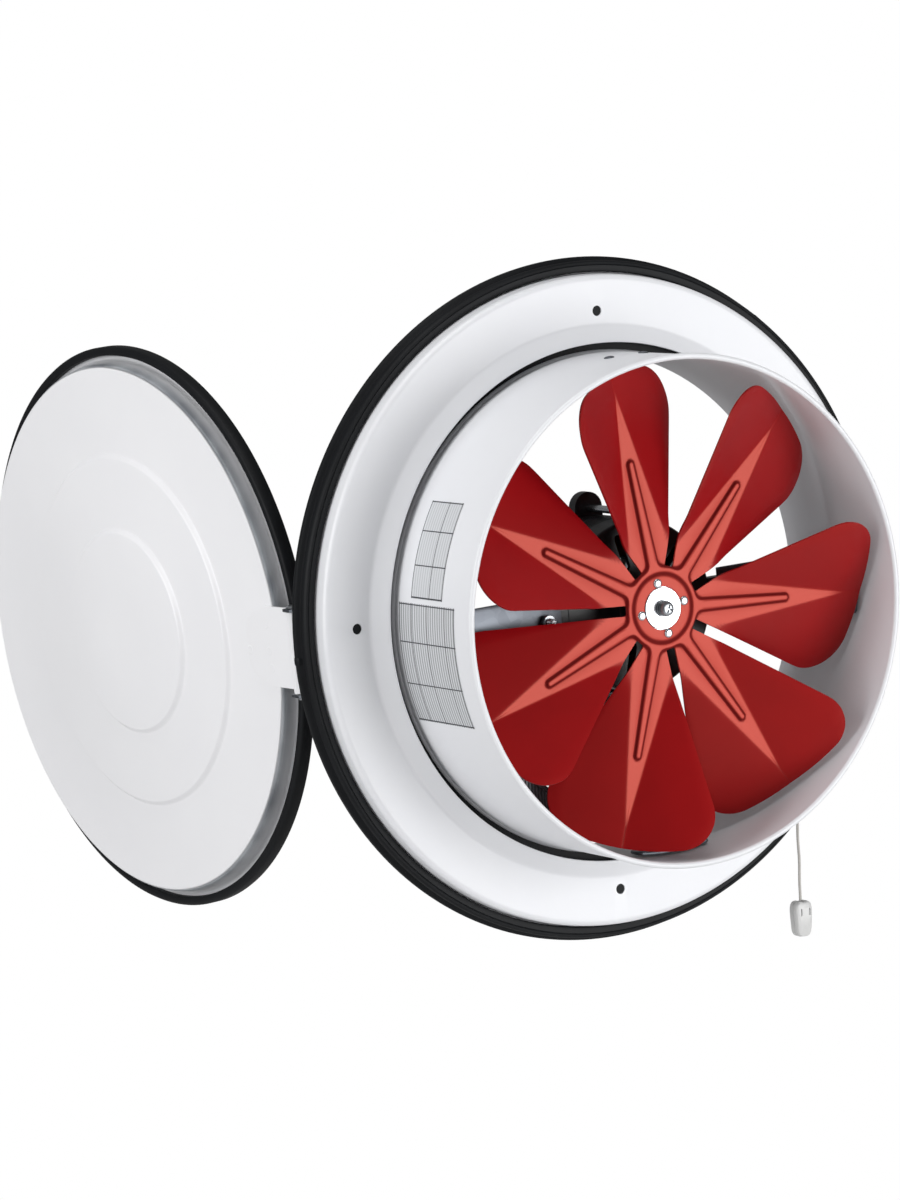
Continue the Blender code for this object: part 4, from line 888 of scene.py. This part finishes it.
flat_rear = -0.05195
flat_outline = [(0.0022, flat_rear), (0.0044, flat_rear), (0.0045, flat_rear - 0.0001),
                (0.0045, flat_rear - 0.0007), (0.0044, flat_rear - 0.0008), (0.0022, flat_rear - 0.0008)]
piece("flat_washer_disc", turned_mesh(flat_outline, 48), steel, "spinner", ["flat_washer"])
spring_rear = flat_rear - 0.0011
split_outline = [(0.0022, spring_rear), (0.0039, spring_rear), (0.0040, spring_rear - 0.0001),
                 (0.0040, spring_rear - 0.0008), (0.0039, spring_rear - 0.0009),
                 (0.0022, spring_rear - 0.0009)]
split = slab([(0.0010, -0.0004), (0.0060, -0.0004), (0.0060, 0.0006), (0.0010, 0.0006)],
             spring_rear - 0.003, spring_rear + 0.003)
piece("split_washer", carved(turned_mesh(split_outline, 48), [split]), steel, "spinner",
      ["spring_washer"])
head_rear = spring_rear - 0.0012
screw_outline = [(0, -0.0440), (0.0019, -0.0440), (0.0019, head_rear), (0.0037, head_rear),
                 (0.0039, head_rear - 0.0003), (0.0039, head_rear - 0.0011), (0.0036, head_rear - 0.0018),
                 (0.0030, head_rear - 0.0022), (0.0018, head_rear - 0.00243), (0, head_rear - 0.00245)]
bars = [slab([(-long, -short), (long, -short), (long, short), (-long, short)], head_rear - 0.004,
             head_rear - 0.0012) for long, short in ((0.0023, 0.0005), (0.0005, 0.0023))]
for bar in bars:
    bar.transform(Matrix.Rotation(math.radians(20), 4, "Y"))
piece("hub_screw", carved(turned_mesh(screw_outline, 48), bars), steel, "spinner",
      ["impeller_screw"])


# Lid: a shallow pressing with two raised steps, which swings on a hinge at the left and stands open.
# A black rubber moulding is pushed over its flange.
lid_wall = 0.001
lid_base = seat_height + 0.0003
flange_radius = seat_radius + 0.003
rubber_radius = flange_radius + 0.0029
face_radius = seat_radius - 0.0056
face_depth = lid_base + 0.0145
step_height = 0.0024
step_width = 0.0034
hinge_spot = Vector((-0.171048, 0.031, -0.012441))
hinge_axis = Vector((-0.072543, 0, 0.997365))
open_angle = math.radians(94.15)
opened = (Matrix.Translation(hinge_spot) @ Matrix.Rotation(open_angle, 4, hinge_axis)
          @ Matrix.Translation(-hinge_spot))
flange_depth = lid_base + 0.0041


def pressed_step(radius, depth):
    """Points of a soft S-shaped step down by one step height, going outwards."""
    return [(radius + step_width * k / 8, depth - step_height * smooth_step(k / 8)) for k in range(9)]


lid_path = [(0, face_depth + 2 * step_height), (0.020, face_depth + 2 * step_height)]
lid_path += pressed_step(0.0534, face_depth + 2 * step_height)
lid_path += pressed_step(0.0936, face_depth + step_height)
lid_path += arc((face_radius, face_depth - 0.0023), 0.0023, 90, 8, 8)
wall_top, wall_foot = Vector(lid_path[-1]), Vector((flange_radius - 0.0046, flange_depth + 0.0012))
lid_path += [tuple(wall_top.lerp(wall_foot, k / 6)) for k in range(1, 6)]
lid_path += [(flange_radius - 0.0046, flange_depth + 0.0012), (flange_radius - 0.0041, flange_depth + 0.0004),
             (flange_radius - 0.0032, flange_depth), (flange_radius, flange_depth)]
lid_mesh = turned_mesh(walled(lid_path, lid_wall), 240)
# Share of the wall at each point: how much painted shade it takes, and how much ripple bump.
drawn = lid_mesh.attributes.new("wall_shade_and_ripple", "FLOAT", "POINT")
for vertex in lid_mesh.vertices:
    past = math.hypot(vertex.co.x, vertex.co.z) - face_radius
    fade = 1 - 0.75 * smooth_step((past - 0.0022) / 0.0018)
    drawn.data[vertex.index].value = smooth_step((past - 0.0009) / 0.0009) * fade
lid_mesh.transform(opened)

# The lid's coat is the same white powder, with its face a touch lighter than the plate's as painted light.
# The deep-drawn wall has the drawing's ripples as a bump, and a painted shade that makes it greyer, in wavy
# streaks of painted sheen.
lid_coat, shader, place = finish_of("white_powder_coat_lit_face_shaded_wall", 0.32)
# The face's tones are a touch lighter than the plate's coat: painted light.
face_colour = colour_drift(lid_coat, shader, place, "#F0F0F2", "#EAEAED", 0.07)
wall_share = add(lid_coat, "ShaderNodeAttribute", {}, attribute_name="wall_shade_and_ripple").outputs["Fac"]
ripple = add(lid_coat, "ShaderNodeTexNoise", {"Vector": place, "Scale": 1 / 0.035, "Detail": 2.0})
# The wall's grey is painted shade, mixed in wavy streaks that paint a rippled sheen.
painted_sheen_streak = add(lid_coat, "ShaderNodeMapRange", {"Value": ripple.outputs["Fac"], "From Min": 0.36,
                                              "From Max": 0.64})
painted_wall_shade_tone = add(lid_coat, "ShaderNodeMix", {"Factor": painted_sheen_streak.outputs["Result"], "A": "#6F7379",
                                            "B": "#A9ADB2"}, data_type="RGBA")
lid_tone = add(lid_coat, "ShaderNodeMix", {"Factor": wall_share, "A": face_colour,
                                           "B": painted_wall_shade_tone.outputs["Result"]}, data_type="RGBA")
lid_coat.node_tree.links.new(lid_tone.outputs["Result"], shader.inputs["Base Color"])
ripple_height = add(lid_coat, "ShaderNodeMath", {0: ripple.outputs["Fac"], 1: wall_share},
                    operation="MULTIPLY")
bump = add(lid_coat, "ShaderNodeBump", {"Height": ripple_height.outputs[0], "Distance": 0.004})
lid_coat.node_tree.links.new(bump.outputs["Normal"], shader.inputs["Normal"])
piece("pressed_lid", lid_mesh, lid_coat, "lid", ["lid_panel"], 40)

low = flange_depth - lid_wall - 0.0002
high = flange_depth + 0.0002
lip_outline = [
    (rubber_radius - 0.0014, high + 0.0036),
    (rubber_radius - 0.0005, high + 0.0031),
    (rubber_radius, high + 0.0022),
    (rubber_radius, lid_base + 0.0014),
    (rubber_radius - 0.0004, lid_base + 0.0004),
    (rubber_radius - 0.0012, lid_base),
    (flange_radius - 0.0050, lid_base),
    (flange_radius - 0.0057, lid_base + 0.0005),
    (flange_radius - 0.0058, lid_base + 0.0014),
    (flange_radius - 0.0058, low),
    (flange_radius + 0.0002, low),
    (flange_radius + 0.0002, high),
    (flange_radius - 0.0020, high),
    (flange_radius - 0.0020, high + 0.0024),
    (flange_radius - 0.0016, high + 0.0032),
    (flange_radius - 0.0008, high + 0.0036),
]
lip_mesh = turned_mesh(lip_outline, 240)
lip_mesh.transform(opened)
piece("lid_rubber", lip_mesh, rubber, "lid", ["lid_gasket"])


# Hinge: a steel leaf, spot welded to the lid and powder coated with it, a galvanised bracket on the
# plate's back and a bright steel pin. Each of the four welds leaves a shallow dimple in the leaf.
refinish(lid_coat, "hinge_leaf")
weld_outline = [(0, 0), (0.0011, 0.00006), (0.0017, -0.00012), (0.0022, -0.00010), (0.0026, 0.00014),
                (0.0026, 0.0004), (0, 0.0004)]
leaf_out = Vector((-0.9948, -0.0720, -0.0724))
weld_spots = ((-0.16895, 0.06659, -0.00093), (-0.16925, 0.08397, -0.01514), (-0.16788, 0.06581, -0.01476),
              (-0.16716, 0.06490, -0.02374))
for k, spot in enumerate(weld_spots):
    dot = turned_mesh(weld_outline, 24)
    dot.transform(Matrix.Translation(spot) @ leaf_out.to_track_quat("-Y", "Z").to_matrix().to_4x4())
    piece("leaf_weld_%d" % (k + 1), dot, lid_coat, "lid")
refinish(galvanised, "hinge_bracket")
refinish(steel, "hinge_pin")


# Terminal box: a moulded box inside the drum with a ribbed front, its cover held by two screws, and
# a gland for the mains lead. Box in grey ABS and gland in black nylon: dull, with a fine mould grain.
grey_abs = coated("grey_abs", 0.45, ("#6A6D71", "#63666A", 0.01), (0.0007, 0.00004))
black_nylon = coated("black_nylon", 0.42, ("#26282A", "#1F2123", 0.01), (0.0007, 0.00003))
refinish(grey_abs, "terminal_box", "terminal_cover")
box_turn = Matrix.Rotation(-math.radians(236), 4, "Y")
box_face = slab([(0.1090, -0.0170), (0.1270, -0.0170), (0.1270, 0.0170), (0.1090, 0.0170)], -0.0219, -0.0229)
box_face.transform(box_turn)
rib_pitch = 0.0019
rib_bm = bmesh.new()
for k in range(20):
    rib_x = -0.0850 + rib_pitch * k
    rib = slab([(rib_x, -0.118), (rib_x + 0.0010, -0.118), (rib_x + 0.0010, -0.072), (rib_x, -0.072)],
               -0.0215, -0.0235)
    rib_bm.from_mesh(carved(rib, [box_face.copy()], "INTERSECT"))
piece("box_ribs", mesh_of(rib_bm), grey_abs, "housing")
refinish(black_nylon, "cable_gland")
refinish(zinc, "terminal_cover_screw_a", "terminal_cover_screw_b")


# Pull switch: a small moulded housing behind the plate. The slider's stem comes out of a guide at its
# foot and carries the cord. Moulded in white ABS, so smooth and half gloss.
white_abs = coated("white_abs", 0.34, ("#D6D6D5", "#CECECD", 0.02), (0.0024, 0.000006))
refinish(white_abs, "switch_housing", "switch_cover", "switch_slider", "cord_guide")
refinish(zinc, "switch_cover_screw_a", "switch_cover_screw_b")
refinish(steel, "switch_spring")

# Cord: three twisted nylon yarns, 1.6 mm across and 57 mm long from the stem to the knob. It hangs
# almost straight, with a slight wave. Dull off-white, with the shade of its lay.
cord_top = -0.1223
cord_length = 0.0567
cord_radius = 0.0008
cord_x = 0.136
cord_y = 0.0303


def cord_spot(share):
    """Middle of the cord at a share of its length, counted from the stem."""
    sway = 0.00025 * math.sin(share * 4 * math.pi) * math.sin(share * math.pi)
    return cord_x + sway, cord_y, cord_top - cord_length * share


nylon = coated("twisted_nylon", 0.7, ("#C9C6C1", "#B3B0AB", 0.0015), (0.0003, 0.00005))
lay_length = 0.0042
cord_steps = 240
cord_bm = bmesh.new()
rings = []
for i in range(cord_steps + 1):
    x, y, height = cord_spot(i / cord_steps)
    ring = []
    for k in range(18):
        turn = 2 * math.pi * k / 18
        lobe = 0.80 + 0.20 * abs(math.cos(1.5 * (turn - 2 * math.pi * (height / lay_length))))
        radius = cord_radius * lobe
        ring.append(cord_bm.verts.new((x + radius * math.cos(turn), y + radius * math.sin(turn), height)))
    rings.append(ring)
cord = piece("twisted_cord", capped_tube(cord_bm, rings), nylon, "pull", ["pull_cord"], 60)

# Knob: two white ABS shells pressed together over the knotted end of the cord, with a flat seam between
# them and two small slots at the top of the front one.
knob_top = cord_top - cord_length - 0.0003
knob_half_width = 0.0055
knob_half_thickness = 0.00375
knob_height = 0.0196
knob_half = [(0.12, 0.022), (0.30, 0), (0.54, 0.004), (0.76, 0.035), (0.92, 0.10), (0.99, 0.18), (1, 0.28),
             (0.97, 0.45), (0.92, 0.63), (0.87, 0.79), (0.79, 0.89), (0.64, 0.96), (0.42, 0.995), (0.16, 1)]
knob_outline = [(x * knob_half_width, -z * knob_height) for x, z in knob_half]
knob_outline += [(-x, z) for x, z in reversed(knob_outline)]
knob_levels = [(0.0001, 0.93), (0.0005, 0.94), (0.0007, 1), (0.0020, 1), (0.0029, 0.965), (0.0034, 0.91),
               (knob_half_thickness, 0.82)]
grips = []
for grip_x in (-0.0020, 0.0034):
    grip_outline = [(cord_x + grip_x + x, knob_top - 0.0060 + z)
                    for z, x in slot_outline(-0.0017, 0.0017, 0.0004)]
    grips.append(slab(grip_outline, cord_y - 0.0022, cord_y - 0.0050))
for name, side, node in (("knob_front", -1, "knob_front_shell"), ("knob_back", 1, "knob_back_shell")):
    bm = bmesh.new()
    rings = []
    for offset, scale in knob_levels:
        middle = -knob_height / 2
        rings.append([bm.verts.new((cord_x + x * scale, cord_y + side * offset,
                                    knob_top + middle + (z - middle) * (1 - (1 - scale) * 0.45)))
                      for x, z in knob_outline])
    mesh = capped_tube(bm, rings)
    if side < 0:
        mesh = carved(mesh, grips)
    piece(name, mesh, white_abs, "pull", [node], 50)


# Studio: a plain pale floor and backdrop that show white to the camera, a large soft light that the
# facets of the blades mirror, one above and one at the left.
floor_bm = bmesh.new()
bmesh.ops.create_grid(floor_bm, x_segments=1, y_segments=1, size=6)
floor_mesh = mesh_of(floor_bm)
floor_mesh.transform(Matrix.Translation((0, 0, -0.75)))
floor_material = bpy.data.materials.new("studio_floor")
floor_material.use_nodes = True
floor_nodes = floor_material.node_tree.nodes
floor_nodes["Principled BSDF"].inputs["Base Color"].default_value = linear("#E6E6E6")
rays = add(floor_material, "ShaderNodeLightPath", {})
glow = add(floor_material, "ShaderNodeEmission", {"Color": (1, 1, 1, 1), "Strength": 1.0})
seen = add(floor_material, "ShaderNodeMixShader", {0: rays.outputs["Is Camera Ray"],
                                                   1: floor_nodes["Principled BSDF"].outputs[0],
                                                   2: glow.outputs[0]})
floor_material.node_tree.links.new(seen.outputs[0], floor_nodes["Material Output"].inputs["Surface"])
floor = loose("studio_floor", floor_mesh)
floor.data.materials.append(floor_material)

world = bpy.data.worlds.new("studio")
bpy.context.scene.world = world
world.use_nodes = True
backdrop = world.node_tree.nodes["Background"]
rays = add(world, "ShaderNodeLightPath", {})
white = add(world, "ShaderNodeBackground", {"Color": (1, 1, 1, 1), "Strength": 1.0})
seen = add(world, "ShaderNodeMixShader", {0: rays.outputs["Is Camera Ray"], 1: backdrop.outputs[0],
                                          2: white.outputs[0]})
world.node_tree.links.new(seen.outputs[0], world.node_tree.nodes["World Output"].inputs["Surface"])
backdrop.inputs["Color"].default_value = (1, 1, 1, 1)
backdrop.inputs["Strength"].default_value = 0.21


def soft_light(name, spot, target, width, height, power):
    """A rectangular soft light that faces a point."""
    lamp = bpy.data.lights.new(name, "AREA")
    lamp.shape = "RECTANGLE"
    lamp.size = width
    lamp.size_y = height
    lamp.energy = power
    obj = bpy.data.objects.new(name, lamp)
    bpy.context.scene.collection.objects.link(obj)
    obj.location = spot
    obj.rotation_euler = (Vector(target) - Vector(spot)).to_track_quat("-Z", "Y").to_euler()


soft_light("front_right_light", (1.05, -2.0, -0.15), (0, 0, 0), 1.6, 1.3, 38)
soft_light("top_light", (-0.5, -0.35, 2.0), (0, 0, 0), 1.6, 1.2, 18)
soft_light("left_light", (-2.3, -0.2, 0.5), (-0.1, 0.1, 0), 1.2, 1.6, 32)

# Camera: a long lens a little above and to the left of the fan's axis. Its lens and its place were
# fitted to the circles of the plate, the drum and the lid.
camera_data = bpy.data.cameras.new("camera")
camera_data.lens = 148.72
camera_data.sensor_width = 36
camera_data.sensor_fit = "AUTO"
camera_data.clip_start = 0.01
camera_data.clip_end = 50
camera = bpy.data.objects.new("camera", camera_data)
bpy.context.scene.collection.objects.link(camera)
sight = Matrix((
    (0.8548, 0.0919, -0.5107, -1.39821),
    (-0.5171, 0.0673, -0.8533, -2.17395),
    (-0.0440, 0.9935, 0.1050, 0.27729),
    (0, 0, 0, 1),
))
camera.matrix_world = Matrix.LocRotScale(sight.to_translation(), sight.to_quaternion(), None)
bpy.context.scene.camera = camera
bpy.context.scene.view_settings.view_transform = "Standard"
